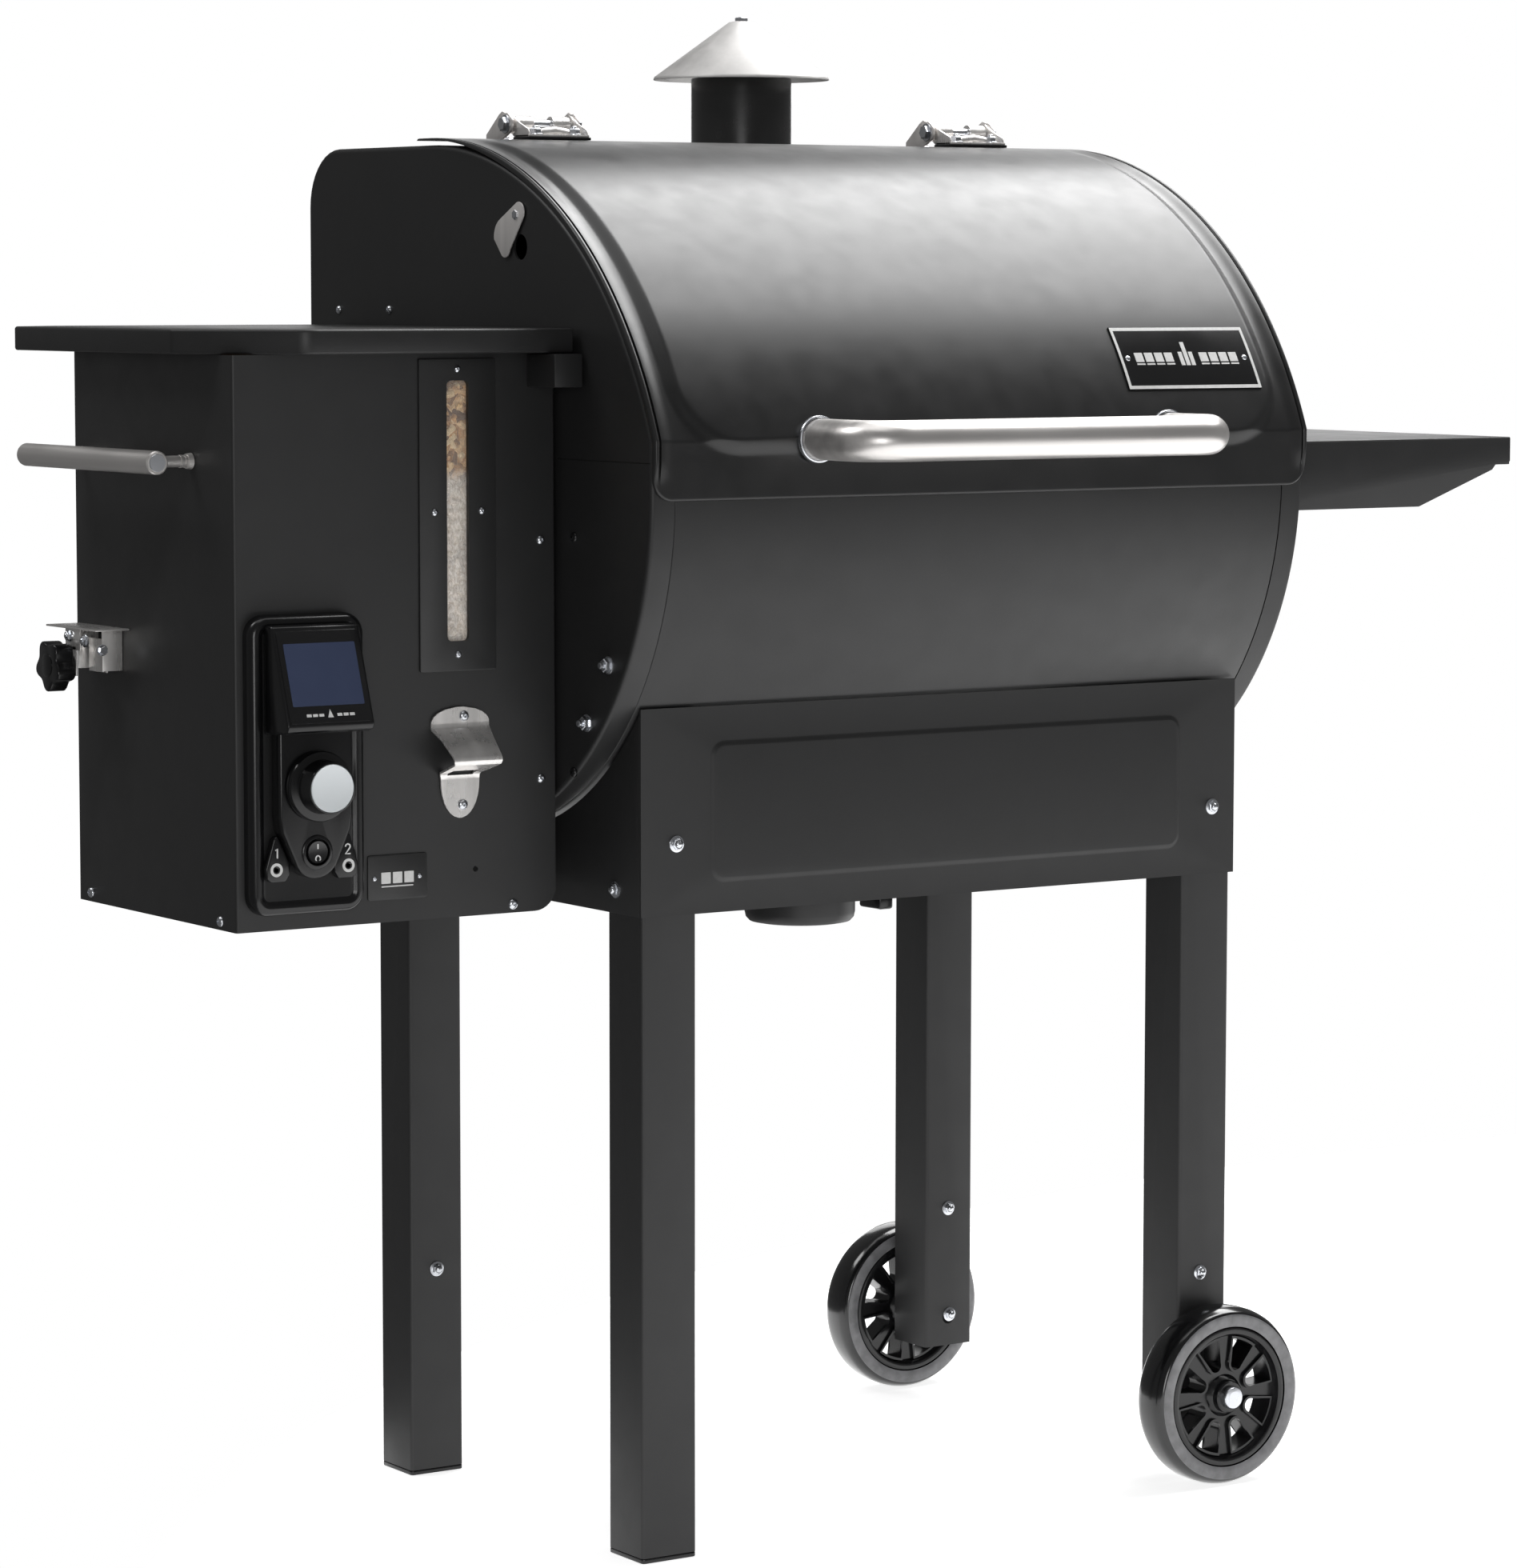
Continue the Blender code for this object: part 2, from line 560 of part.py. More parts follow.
def build_hopper():
    walls = add_part("hopper_body", box((HOP_LEFT, HOP_FRONT, HOP_BOTTOM), (HOP_RIGHT, HOP_BACK, HOP_TOP)), "powder")
    inside = box((HOP_LEFT + SHEET, HOP_FRONT + SHEET, HOP_BOTTOM - 0.01),
                 (HOP_RIGHT - SHEET, HOP_BACK - SHEET, HOP_TOP + 0.01))
    boolean(walls, inside, "hopper_inside")
    slot = rounded(WIN_X - SLOT_HALF, WIN_X + SLOT_HALF, SLOT_LOW, SLOT_HIGH, 0.004, 2)
    boolean(walls, prism(slot, HOP_FRONT - 0.01, HOP_FRONT + 0.01, "Y"), "hopper_slot")
    boolean(walls, rod(AUGER_TUBE_R + GAP, (HOP_RIGHT - 0.01, 0.0, AUGER_Z), 0.02, "X", 20), "tube_hole")
    boolean(walls, rod(0.0048, (HOP_RIGHT - 0.01, 0.036, AUGER_Z), 0.02, "X", 10), "heater_hole")
    mouth = box((HOP_LEFT - 0.01, CLEAN_Y - 0.030, 0.734), (HOP_LEFT + 0.01, CLEAN_Y + 0.008, 0.752))
    boolean(walls, mouth, "cleanout_mouth")

    add_part("hopper_bin", bin_mesh(), "raw_steel")
    plate = add_part("window_plate", prism(rounded(WIN_X - WIN_HALF, WIN_X + WIN_HALF, WIN_LOW, WIN_HIGH, 0.002, 1),
                                           HOP_FRONT - GAP - 0.0015, HOP_FRONT - GAP, "Y"), "powder")
    boolean(plate, prism(slot, HOP_FRONT - 0.01, HOP_FRONT + 0.01, "Y"), "window_slot")
    pane = prism(rounded(WIN_X - 0.018, WIN_X + 0.018, SLOT_LOW - 0.008, SLOT_HIGH + 0.008, 0.003, 2),
                 HOP_FRONT + SHEET + GAP, HOP_FRONT + SHEET + GAP + 0.0015, "Y")
    add_part("window_pane", pane, "glass")
    block = box((-0.3565, -0.1755, 0.952), (-0.3303, HOP_FRONT - GAP, 0.9785))
    add_part("hopper_bracket", block, "powder")

    origin = (-0.491, HLID_AXIS_Y, HLID_AXIS_Z)
    lid = add_part("hopper_lid", prism(hopper_lid_outline(0.0), HLID_BOTTOM, HLID_TOP, "Z"), "powder", origin)
    boolean(lid, prism(hopper_lid_outline(SHEET), HLID_BOTTOM - 0.01, HLID_TOP - SHEET, "Z"), "lid_hollow")
    strip = add_part("hopper_hinge", rod(0.0042, (-0.610, HLID_AXIS_Y, HLID_AXIS_Z), 0.24, "X", 12), "zinc")
    leaf = box((-0.605, HOP_BACK + GAP, 0.945), (-0.375, HOP_BACK + GAP + 0.0018, 0.9725))
    boolean(strip, leaf, "hinge_strip", "UNION")
    knuckle = box((-0.605, HOP_BACK + GAP, 0.9705), (-0.375, HLID_AXIS_Y, 0.9735))
    boolean(strip, knuckle, "hinge_knuckle", "UNION")


def hopper_lid_outline(inset):
    left, right = HLID_LEFT + inset, HLID_RIGHT - inset
    front, back = HLID_FRONT + inset, HLID_BACK - inset
    cut = inset * 0.42
    return [(right, front), (right, back), (left + 0.052 + cut, back), (left, back - 0.037 - cut),
            (left, front + 0.080 + cut), (left + 0.078 + cut, front)]


def bin_mesh():
    """The sloped bin that carries pellets down to the auger: an open funnel of sheet."""
    rim = (HOP_LEFT + SHEET + GAP, HOP_RIGHT - SHEET - GAP, HOP_FRONT + SHEET + 0.003, HOP_BACK - SHEET - GAP)
    mouth = (BIN_OUT_X - BIN_OUT_HALF, BIN_OUT_X + BIN_OUT_HALF, -BIN_OUT_HALF, BIN_OUT_HALF)
    levels = ((rim, 0.970), (rim, 0.800), (mouth, BIN_OUT_Z + 0.004), (mouth, BIN_OUT_Z))
    bm = bmesh.new()
    loops = []
    for inset, order in ((0.0, levels), (0.0016, levels[::-1])):
        for (x0, x1, y0, y1), z in order:
            corners = ((x0 + inset, y0 + inset), (x1 - inset, y0 + inset), (x1 - inset, y1 - inset),
                       (x0 + inset, y1 - inset))
            loops.append([bm.verts.new((x, y, z)) for x, y in corners])
    for first, second in zip(loops, loops[1:] + loops[:1]):
        for k in range(4):
            bm.faces.new((first[k], first[(k + 1) % 4], second[(k + 1) % 4], second[k]))
    return bm


def build_hopper_fittings():
    handle = add_part("hopper_handle", rod(BAR_R, (BAR_X, BAR_BACK, BAR_Z), BAR_BACK - BAR_FRONT, "Y", 16),
                      "stainless", smooth=True)
    for y, tag in ((-0.063, "front"), (0.128, "rear")):
        post = rod(0.0042, (BAR_X, y, BAR_Z), HOP_LEFT - GAP - BAR_X, "X", 10)
        boolean(handle, post, "post_" + tag, "UNION")
        washer = rod(0.0070, (HOP_LEFT - GAP - 0.005, y, BAR_Z), 0.005, "X", 14)
        boolean(handle, washer, "washer_" + tag, "UNION")

    chute = add_part("cleanout_chute", box((CLEAN_X, 0.050, 0.7560), (HOP_LEFT - GAP, 0.128, 0.7575)), "stainless")
    for y, tag in ((0.0600, "front"), (0.1030, "rear")):
        cheek = [(HOP_LEFT - GAP, 0.7228), (HOP_LEFT - GAP, 0.7565), (CLEAN_X, 0.7565), (CLEAN_X, 0.745),
                 (CLEAN_X + 0.006, 0.7228)]
        boolean(chute, prism(cheek, y, y + 0.0015, "Y"), "cheek_" + tag, "UNION")
    web = box((CLEAN_X, 0.0600, 0.7460), (CLEAN_X + 0.0015, 0.1045, 0.7575))
    boolean(chute, web, "chute_web", "UNION")
    ear = box((CLEAN_X, CLEAN_Y - 0.006, 0.7200), (CLEAN_X + 0.0015, CLEAN_Y + 0.006, 0.7465))
    boolean(chute, ear, "chute_ear", "UNION")

    lobes = []
    for k in range(10):
        reach = 0.0215 if k % 2 == 0 else 0.0175
        angle = math.tau * k / 10 + 0.3
        lobes.append((CLEAN_Y + reach * math.cos(angle), CLEAN_Z + reach * math.sin(angle)))
    knob = prism(lobes, CLEAN_X - 0.022, CLEAN_X - 0.006)
    star = add_part("cleanout_knob", knob, "plastic", (CLEAN_X, CLEAN_Y, CLEAN_Z))
    boss = rod(0.009, (CLEAN_X - 0.0075, CLEAN_Y, CLEAN_Z), 0.0072, "X", 12)
    boolean(star, boss, "knob_boss", "UNION")

    profile = opener_profile()
    opener = add_part("bottle_opener", prism(ribbon(profile[::-1], 0.0018), OPEN_X - 0.0265, OPEN_X + 0.0265), "stainless")
    for tag, x0, x1 in (("left", OPEN_X - 0.04, OPEN_X - 0.0190), ("right", OPEN_X + 0.0190, OPEN_X + 0.04)):
        boolean(opener, box((x0, HOP_FRONT - 0.05, 0.60), (x1, HOP_FRONT + 0.01, 0.656)), "opener_trim_" + tag)


def opener_profile():
    """Side view of the opener, from its top flange out to the lip and back to its lower flange."""
    wall = HOP_FRONT - GAP
    return [(wall, 0.698), (wall, 0.680), (wall - 0.030, 0.657), (wall - 0.028, 0.650), (wall - 0.004, 0.648),
            (wall, 0.640), (wall, 0.609)]


def build_controller():
    wall = HOP_FRONT - GAP
    frame = rounded(CTL_X - CASE_HALF, CTL_X + CASE_HALF, CTL_LOW, CTL_HIGH, 0.014, 3)
    case = add_part("controller_housing", prism(frame, wall - CTL_DEPTH, wall, "Y"), "plastic")
    recess = rounded(CTL_X - 0.0425, CTL_X + 0.0425, 0.5715, CTL_HIGH - 0.009, 0.004, 2)
    boolean(case, prism(recess, wall - CTL_DEPTH - 0.01, wall - 0.004, "Y"), "case_recess")
    hood = [(wall - 0.003, HOOD_HIGH), (wall - HOOD_TOP_OUT, HOOD_HIGH), (wall - HOOD_OUT, HOOD_LOW + 0.003),
            (wall - HOOD_OUT + 0.003, HOOD_LOW), (wall - 0.003, HOOD_LOW - 0.004)]
    boolean(case, prism(hood, CTL_X - HOOD_HALF, CTL_X + HOOD_HALF), "case_hood", "UNION")
    apron = [(CTL_X - 0.0325, HOOD_LOW + 0.004), (CTL_X - 0.0325, 0.614), (CTL_X - 0.016, 0.573),
             (CTL_X + 0.016, 0.573), (CTL_X + 0.0325, 0.614), (CTL_X + 0.0325, HOOD_LOW + 0.004)]
    boolean(case, prism(apron, wall - PANEL_OUT, wall - 0.003, "Y"), "case_apron", "UNION")
    boolean(case, rod(0.0053, (CTL_X, wall - 0.0035, KNOB_Z), 0.03, "Y", 12), "shaft_well")
    boolean(case, rod(0.0125, (CTL_X, wall - 0.0035, SWITCH_Z), 0.03, "Y", 16), "switch_well")

    top = Vector((CTL_X, wall - HOOD_TOP_OUT, HOOD_HIGH))
    low = Vector((CTL_X, wall - HOOD_OUT, HOOD_LOW + 0.003))
    run = (low - top).normalized()
    out = Vector((0.0, run.z, -run.y))
    centre = top.lerp(low, 0.45) + out * GAP
    screen = box((-0.0315, -0.0260, 0.0), (0.0315, 0.0260, 0.0009))
    turn = Matrix((Vector((1, 0, 0)), -run, out)).transposed().to_4x4()
    bmesh.ops.transform(screen, matrix=Matrix.Translation(centre) @ turn, verts=screen.verts[:])
    add_part("display_screen", screen, "screen")

    shaft_y = wall - 0.006
    shaft = rod(0.0045, (CTL_X, shaft_y, KNOB_Z), 0.0350, "Y", 12)
    add_part("control_shaft", shaft, "zinc", (CTL_X, shaft_y, KNOB_Z))
    knob_y = wall - PANEL_OUT - 0.0018
    profile = [(0.0050, 0.0), (0.0275, 0.0), (0.0280, 0.006), (KNOB_R + 0.0008, 0.008), (KNOB_R, KNOB_LEN - 0.002),
               (KNOB_R - 0.0015, KNOB_LEN), (0.0, KNOB_LEN), (0.0, 0.0180), (0.0050, 0.0180)]
    knob = lathe(profile, (CTL_X, knob_y, KNOB_Z), "Y", 24)
    add_part("control_knob", knob, "plastic", (CTL_X, knob_y, KNOB_Z))
    rocker = prism(ring_points(CTL_X, SWITCH_Z, 0.0095, 16), wall - SWITCH_FRONT, wall - SWITCH_BACK, "Y")
    add_part("power_switch", rocker, "plastic", (CTL_X, wall - SWITCH_BACK, SWITCH_Z))


def build_shelf():
    y = SHELF_HALF_Y
    shelf = add_part("side_shelf", box((SHELF_LEFT, -y, SHELF_TOP - SHEET), (SHELF_RIGHT, y, SHELF_TOP)), "powder")
    lip_z = SHELF_TOP - SHELF_LIP
    gusset = [(SHELF_LEFT, SHELF_TOP - 0.001), (SHELF_LEFT, 0.838), (0.522, 0.838), (0.607, 0.869), (0.611, lip_z),
              (SHELF_RIGHT, lip_z), (SHELF_RIGHT, SHELF_TOP - 0.001)]
    for tag, y0 in (("front", -y), ("rear", y - SHEET)):
        boolean(shelf, prism(gusset, y0, y0 + SHEET, "Y"), "shelf_side_" + tag, "UNION")
    lip = box((SHELF_RIGHT - SHEET, -y + 0.001, lip_z), (SHELF_RIGHT, y - 0.001, SHELF_TOP - 0.001))
    boolean(shelf, lip, "shelf_lip", "UNION")
    back = box((SHELF_LEFT, -y + 0.001, 0.838), (SHELF_LEFT + SHEET, y - 0.001, SHELF_TOP - 0.001))
    boolean(shelf, back, "shelf_back", "UNION")


def build_wheels():
    for tag, side in (("front", -1), ("rear", 1)):
        near, far = side * WHEEL_NEAR, side * (WHEEL_NEAR + WHEEL_WIDTH)
        y0, y1 = min(near, far), max(near, far)
        origin = (WHEEL_X, (y0 + y1) / 2, WHEEL_R)
        inner, outer, width = WHEEL_IN, WHEEL_R, WHEEL_WIDTH
        profile = [(inner, 0.0), (outer - 0.006, 0.0), (outer, 0.008), (outer, width - 0.008),
                   (outer - 0.006, width), (inner, width)]
        add_part("tyre_" + tag, lathe(profile, (WHEEL_X, y1, WHEEL_R), "Y", 32), "tyre", origin, True)
        disc = ring_points(WHEEL_X, WHEEL_R, WHEEL_IN - GAP, 32)
        hub = add_part("hub_" + tag, prism(disc, y0 + 0.004, y1 - 0.004, "Y"), "plastic", origin)
        boolean(hub, rod(AXLE_R + GAP, (WHEEL_X, y1 + 0.02, WHEEL_R), 0.09, "Y", 16), "hub_bore_" + tag)
        boolean(hub, spoke_windows(y0 - 0.01, y1 + 0.01), "hub_windows_" + tag)
        start = side * (LEG_Y - 0.010)
        end = side * (WHEEL_NEAR + WHEEL_WIDTH + 0.006)
        y_top = max(start, end)
        axle = add_part("axle_" + tag, rod(AXLE_R, (WHEEL_X, y_top, WHEEL_R), abs(end - start), "Y", 16), "zinc")
        cap_start = max(side * (WHEEL_NEAR + WHEEL_WIDTH - 0.0035), end)
        cap_len = 0.0095
        boolean(axle, rod(0.0083, (WHEEL_X, cap_start, WHEEL_R), cap_len, "Y", 16), "axle_cap_" + tag, "UNION")
        collar_top = max(side * (LEG_Y + GAP), side * (WHEEL_NEAR + 0.0035))
        collar = rod(0.0090, (WHEEL_X, collar_top, WHEEL_R), WHEEL_NEAR + 0.0035 - LEG_Y - GAP, "Y", 16)
        boolean(axle, collar, "axle_collar_" + tag, "UNION")


def spoke_windows(y0, y1):
    """Eight openings between the spokes, as one set of wedge-shaped prisms."""
    bm = bmesh.new()
    half = math.pi / SPOKES
    for k in range(SPOKES):
        middle = math.tau * (k + 0.5) / SPOKES
        outline = []
        for radius, spread in ((0.022, 0.40), (0.050, 0.72)):
            step = half * spread
            pair = [(WHEEL_X + radius * math.cos(middle + s * step), WHEEL_R + radius * math.sin(middle + s * step))
                    for s in ((-1, 1) if radius < 0.03 else (1, -1))]
            outline += pair
        part = prism(outline, y0, y1, "Y")
        mesh = bpy.data.meshes.new("wedge")
        part.to_mesh(mesh)
        part.free()
        bm.from_mesh(mesh)
        bpy.data.meshes.remove(mesh)
    return bm


def build_ash_parts():
    r, wall = FIRE_R, SHEET
    cup = [(0.0, ASH_BOTTOM), (r - 0.003, ASH_BOTTOM), (r, ASH_BOTTOM + 0.004), (r, ASH_TOP), (r - wall, ASH_TOP),
           (r - wall, ASH_BOTTOM + 0.005), (r - wall - 0.002, ASH_BOTTOM + wall), (0.0, ASH_BOTTOM + wall)]
    add_part("ash_cup", lathe(cup, (FIRE_X, 0.0, 0.0), "Z", 24), "powder", (FIRE_X, 0.0, ASH_TOP))
    gate_z = ASH_TOP + 0.0010
    gate = add_part("ash_gate", box((FIRE_X - 0.052, -0.052, gate_z), (0.0785, 0.052, gate_z + 0.0015)), "zinc",
                    (FIRE_X, 0.0, gate_z))
    boolean(gate, box((0.0765, -0.012, 0.497), (0.0785, 0.012, gate_z + 0.001)), "gate_tab", "UNION")

    base, top = 0.589, 0.690
    pot = [(0.034, base + 0.006), (0.052, base + 0.006), (0.052, top), (0.050, top), (0.050, base + 0.008),
           (0.034, base + 0.008)]
    fire_pot = add_part("fire_pot", lathe(pot, (FIRE_X, 0.0, 0.0), "Z", 20), "raw_steel")
    boolean(fire_pot, rod(AUGER_TUBE_R + GAP, (FIRE_X - 0.08, 0.0, AUGER_Z), 0.05, "X", 16), "pot_feed")
    boolean(fire_pot, rod(0.0048, (FIRE_X - 0.08, 0.036, AUGER_Z), 0.06, "X", 10), "pot_igniter")


def build_feed():
    start, end = -0.585, FIRE_X - 0.0545
    tube = add_part("auger_tube", rod(AUGER_TUBE_R, (start, 0.0, AUGER_Z), end - start, "X", 20), "zinc")
    boolean(tube, rod(AUGER_TUBE_R - SHEET, (start - 0.01, 0.0, AUGER_Z), end - start + 0.02, "X", 20), "tube_bore")
    inlet = box((BIN_OUT_X - 0.025, -0.016, AUGER_Z), (BIN_OUT_X + 0.025, 0.016, AUGER_Z + 0.04))
    boolean(tube, inlet, "tube_inlet")

    shaft_start = start + 0.002
    length = end - start - 0.006
    auger = add_part("auger", rod(0.0065, (shaft_start, 0.0, AUGER_Z), length, "X", 10), "raw_steel",
                     (shaft_start, 0.0, AUGER_Z))
    boolean(auger, flight(shaft_start + 0.006, length - 0.012), "auger_flight", "UNION")

    motor = add_part("auger_motor", box((-0.618, -0.034, AUGER_Z - 0.034), (start - GAP, 0.034, AUGER_Z + 0.034)),
                     "zinc")
    boolean(motor, rod(0.022, (-0.6195, 0.0, AUGER_Z), 0.006, "X", 16), "motor_end", "UNION")

    add_part("igniter", rod(0.0045, (-0.400, 0.036, AUGER_Z), 0.350, "X", 10), "zinc")
    add_part("temperature_sensor", rod(0.0029, (HOP_RIGHT + GAP, 0.110, 0.905), 0.080, "X", 10), "stainless")


def flight(start, length):
    """The auger's helical blade: a rectangle carried along a helix, with closed ends."""
    turns = length / 0.043
    count = int(turns * 10)
    inner, outer, half = 0.0050, AUGER_R, 0.0011
    bm = bmesh.new()
    rings = []
    for i in range(count + 1):
        x = start + length * i / count
        angle = math.tau * turns * i / count
        ring = []
        for radius, side in ((inner, -1), (outer, -1), (outer, 1), (inner, 1)):
            ring.append(bm.verts.new((x + side * half, radius * math.cos(angle), AUGER_Z + radius * math.sin(angle))))
        rings.append(ring)
    for first, second in zip(rings, rings[1:]):
        for k in range(4):
            bm.faces.new((first[k], first[(k + 1) % 4], second[(k + 1) % 4], second[k]))
    bm.faces.new(rings[0])
    bm.faces.new(rings[-1][::-1])
    return bm


def build_fan():
    x, z = -0.430, 0.590
    y0, y1 = 0.060, 0.090
    case = add_part("fan_housing", box((x - 0.040, y0, z - 0.040), (x + 0.040, y1, z + 0.040)), "plastic")
    boolean(case, rod(0.036, (x, y1 + 0.01, z), 0.05, "Y", 24), "fan_bore")
    boolean(case, box((x - 0.038, y0, z - 0.003), (x + 0.038, y0 + 0.002, z + 0.003)), "fan_spider", "UNION")
    rotor = add_part("combustion_fan", rod(0.013, (x, y1 - 0.004, z), 0.020, "Y", 14), "plastic",
                     (x, (y0 + y1) / 2, z))
    for k in range(5):
        blade = box((0.010, -0.0008, -0.008), (0.034, 0.0008, 0.008))
        spin = Matrix.Translation((x, y1 - 0.014, z)) @ Matrix.Rotation(math.tau * k / 5, 4, "Y")
        spin = spin @ Matrix.Rotation(math.pi / 2, 4, "X") @ Matrix.Rotation(math.radians(40), 4, "X")
        bmesh.ops.transform(blade, matrix=spin, verts=blade.verts[:])
        boolean(rotor, blade, "blade_%d" % k, "UNION")


def build_inside():
    slots = 15
    x_half, y0, y1, z = 0.296, -0.235, 0.235, 0.862
    grate = add_part("cooking_grate", box((-x_half, y0, z), (x_half, y1, z + 0.006)), "porcelain")
    pitch = (2 * x_half - 0.012) / slots
    bm = bmesh.new()
    for k in range(slots):
        left = -x_half + 0.012 + pitch * k
        bmesh.ops.create_cube(bm, size=1.0)
        new = bm.verts[-8:]
        bmesh.ops.scale(bm, vec=(pitch - 0.012, y1 - y0 - 0.024, 0.03), verts=new)
        bmesh.ops.translate(bm, vec=(left + (pitch - 0.012) / 2, 0.0, z), verts=new)
    boolean(grate, bm, "grate_slots")

    pan = [(-0.225, 0.775), (0.225, 0.748), (0.225, 0.758), (0.223, 0.758), (0.223, 0.7503), (-0.223, 0.7771),
           (-0.223, 0.787), (-0.225, 0.787)]
    add_part("grease_tray", prism(pan, -0.296, 0.296), "raw_steel")
    hood = [(-0.120, 0.705), (0.0, 0.735), (0.120, 0.705), (0.120, 0.7072), (0.0, 0.7372), (-0.120, 0.7072)]
    add_part("heat_deflector", prism(hood, -0.140, 0.140), "raw_steel")


build_frame()
build_barrel()
build_lid()
build_lid_handle()
build_hinges()
build_chimney()
build_probe_flap()
build_hopper()
build_hopper_fittings()
build_controller()
build_shelf()
build_wheels()
build_ash_parts()
build_feed()
build_fan()
build_inside()
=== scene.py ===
import math
import random

import bmesh
import bpy
from mathutils import Matrix, Vector


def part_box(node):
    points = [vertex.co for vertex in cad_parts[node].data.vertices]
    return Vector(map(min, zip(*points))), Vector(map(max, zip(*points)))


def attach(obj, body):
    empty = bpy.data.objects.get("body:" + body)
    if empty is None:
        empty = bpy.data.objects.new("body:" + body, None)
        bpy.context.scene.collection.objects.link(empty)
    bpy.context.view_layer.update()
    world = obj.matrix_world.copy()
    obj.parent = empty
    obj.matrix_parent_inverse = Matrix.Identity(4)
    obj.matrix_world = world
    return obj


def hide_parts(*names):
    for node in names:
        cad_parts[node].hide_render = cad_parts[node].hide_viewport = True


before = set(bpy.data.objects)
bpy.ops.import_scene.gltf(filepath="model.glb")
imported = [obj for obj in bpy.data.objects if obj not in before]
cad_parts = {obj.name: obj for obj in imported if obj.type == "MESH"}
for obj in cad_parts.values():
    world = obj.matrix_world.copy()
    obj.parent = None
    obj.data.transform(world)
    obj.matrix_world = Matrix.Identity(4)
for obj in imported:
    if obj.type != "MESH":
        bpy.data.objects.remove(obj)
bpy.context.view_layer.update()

# The grill's own design axes: X from the middle of the barrel, Y from the middle of the leg frame.
lid_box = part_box("grill_lid")
OX = (lid_box[0].x + lid_box[1].x) / 2
OY = (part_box("leg_front_left")[0].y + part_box("leg_rear_left")[1].y) / 2
SHIFT = Vector((OX, OY, 0.0))

SHEET = 0.002
BARREL_X, PANEL_FLANGE = 0.328, 0.022
LOW_Y, LOW_Z, LOW_R = 0.0145, 0.872, 0.288
UP_Y, UP_Z, UP_R = 0.0715, 0.7785, 0.370
BACK_Y, CORNER_R = 0.281, 0.050
LID_X, LID_R, LID_FRONT_Y, LID_LIP_Z, LID_REAR_Y = 0.3285, 0.376, -0.280, 0.864, 0.0915
# How far the lid's pressed middle and its border stand out of its nominal curve.
EMBOSS, BORDER = 0.0012, -0.0030
HINGE_Y, HINGE_Z = 0.095, 1.168
LEG_X, LEG_Y, LEG_W = 0.300, 0.2145, 0.052
HOP_L, HOP_R, HOP_F, HOP_B, HOP_LOW, HOP_TOP = -0.6217, -0.3302, -0.132, 0.144, 0.529, 0.979
WALL = HOP_F - 0.0003
CTL_X, DIAL_Z, SWITCH_Z = -0.5635, 0.644, 0.592
JACKS = (-0.5957, -0.5318)
FLUE_X, FLUE_Y, FLUE_Z, FLUE_R = 0.1593, 0.340, 1.026, 0.0464
WHEEL_X, WHEEL_R = 0.2735, 0.0775
AUGER_Z, APRON_LOW = 0.632, 0.5285
random.seed(11)


# ---------------------------------------------------------------- materials

class Shader:
    """A Principled material whose colour, roughness and bump come from noise in object space."""

    def __init__(self, name, colour, rough, metallic=0.0, **fixed):
        self.mat = bpy.data.materials.new(name)
        self.mat.use_nodes = True
        self.tree = self.mat.node_tree
        self.bsdf = self.tree.nodes["Principled BSDF"]
        self.colour, self.rough = colour, rough
        self.put("Metallic", metallic)
        for key, value in fixed.items():
            self.put(key.replace("_", " "), value)
        self.coord = self.node("ShaderNodeTexCoord").outputs["Object"]

    def put(self, socket, value):
        self.bsdf.inputs[socket].default_value = value

    def node(self, kind, **inputs):
        made = self.tree.nodes.new(kind)
        for key, value in inputs.items():
            made.inputs[key.replace("_", " ")].default_value = value
        return made

    def join(self, source, target):
        self.tree.links.new(source, target)

    def noise(self, scale, detail=2.0, stretch=(1, 1, 1), roughness=0.5, coord=None):
        tex = self.node("ShaderNodeTexNoise", Scale=scale, Detail=detail, Roughness=roughness)
        mapping = self.node("ShaderNodeMapping", Scale=stretch)
        self.join(coord or self.coord, mapping.inputs["Vector"])
        self.join(mapping.outputs["Vector"], tex.inputs["Vector"])
        return tex.outputs["Fac"]

    def remap(self, value, low, high, out_low, out_high):
        made = self.node("ShaderNodeMapRange")
        for key, number in zip(("From Min", "From Max", "To Min", "To Max"), (low, high, out_low, out_high)):
            made.inputs[key].default_value = number
        self.join(value, made.inputs["Value"])
        return made.outputs["Result"]

    def mix(self, factor, first, second):
        made = self.tree.nodes.new("ShaderNodeMix")
        made.data_type = "RGBA"
        sockets = [s for s in made.inputs if s.type == "RGBA"]
        for socket, value in zip(sockets, (first, second)):
            if isinstance(value, tuple):
                socket.default_value = (*value, 1.0)
            else:
                self.join(value, socket)
        if isinstance(factor, float):
            made.inputs["Factor"].default_value = factor
        else:
            self.join(factor, made.inputs["Factor"])
        return [s for s in made.outputs if s.type == "RGBA"][0]

    # Pointiness mask; the powder and plastic shaders use it to paint highlights along edges.
    def edges(self, low=0.515, high=0.60):
        geometry = self.tree.nodes.new("ShaderNodeNewGeometry")
        return self.remap(geometry.outputs["Pointiness"], low, high, 0.0, 1.0)

    def bump(self, height, strength, distance=0.0004, after=None):
        made = self.node("ShaderNodeBump", Strength=strength, Distance=distance)
        self.join(height, made.inputs["Height"])
        if after is not None:
            self.join(after, made.inputs["Normal"])
        self.join(made.outputs["Normal"], self.bsdf.inputs["Normal"])
        return made.outputs["Normal"]

    def finish(self, colour=None, rough=None):
        if colour is None:
            self.put("Base Color", (*self.colour, 1.0))
        else:
            self.join(colour, self.bsdf.inputs["Base Color"])
        if rough is None:
            self.put("Roughness", self.rough)
        else:
            self.join(rough, self.bsdf.inputs["Roughness"])
        return self.mat


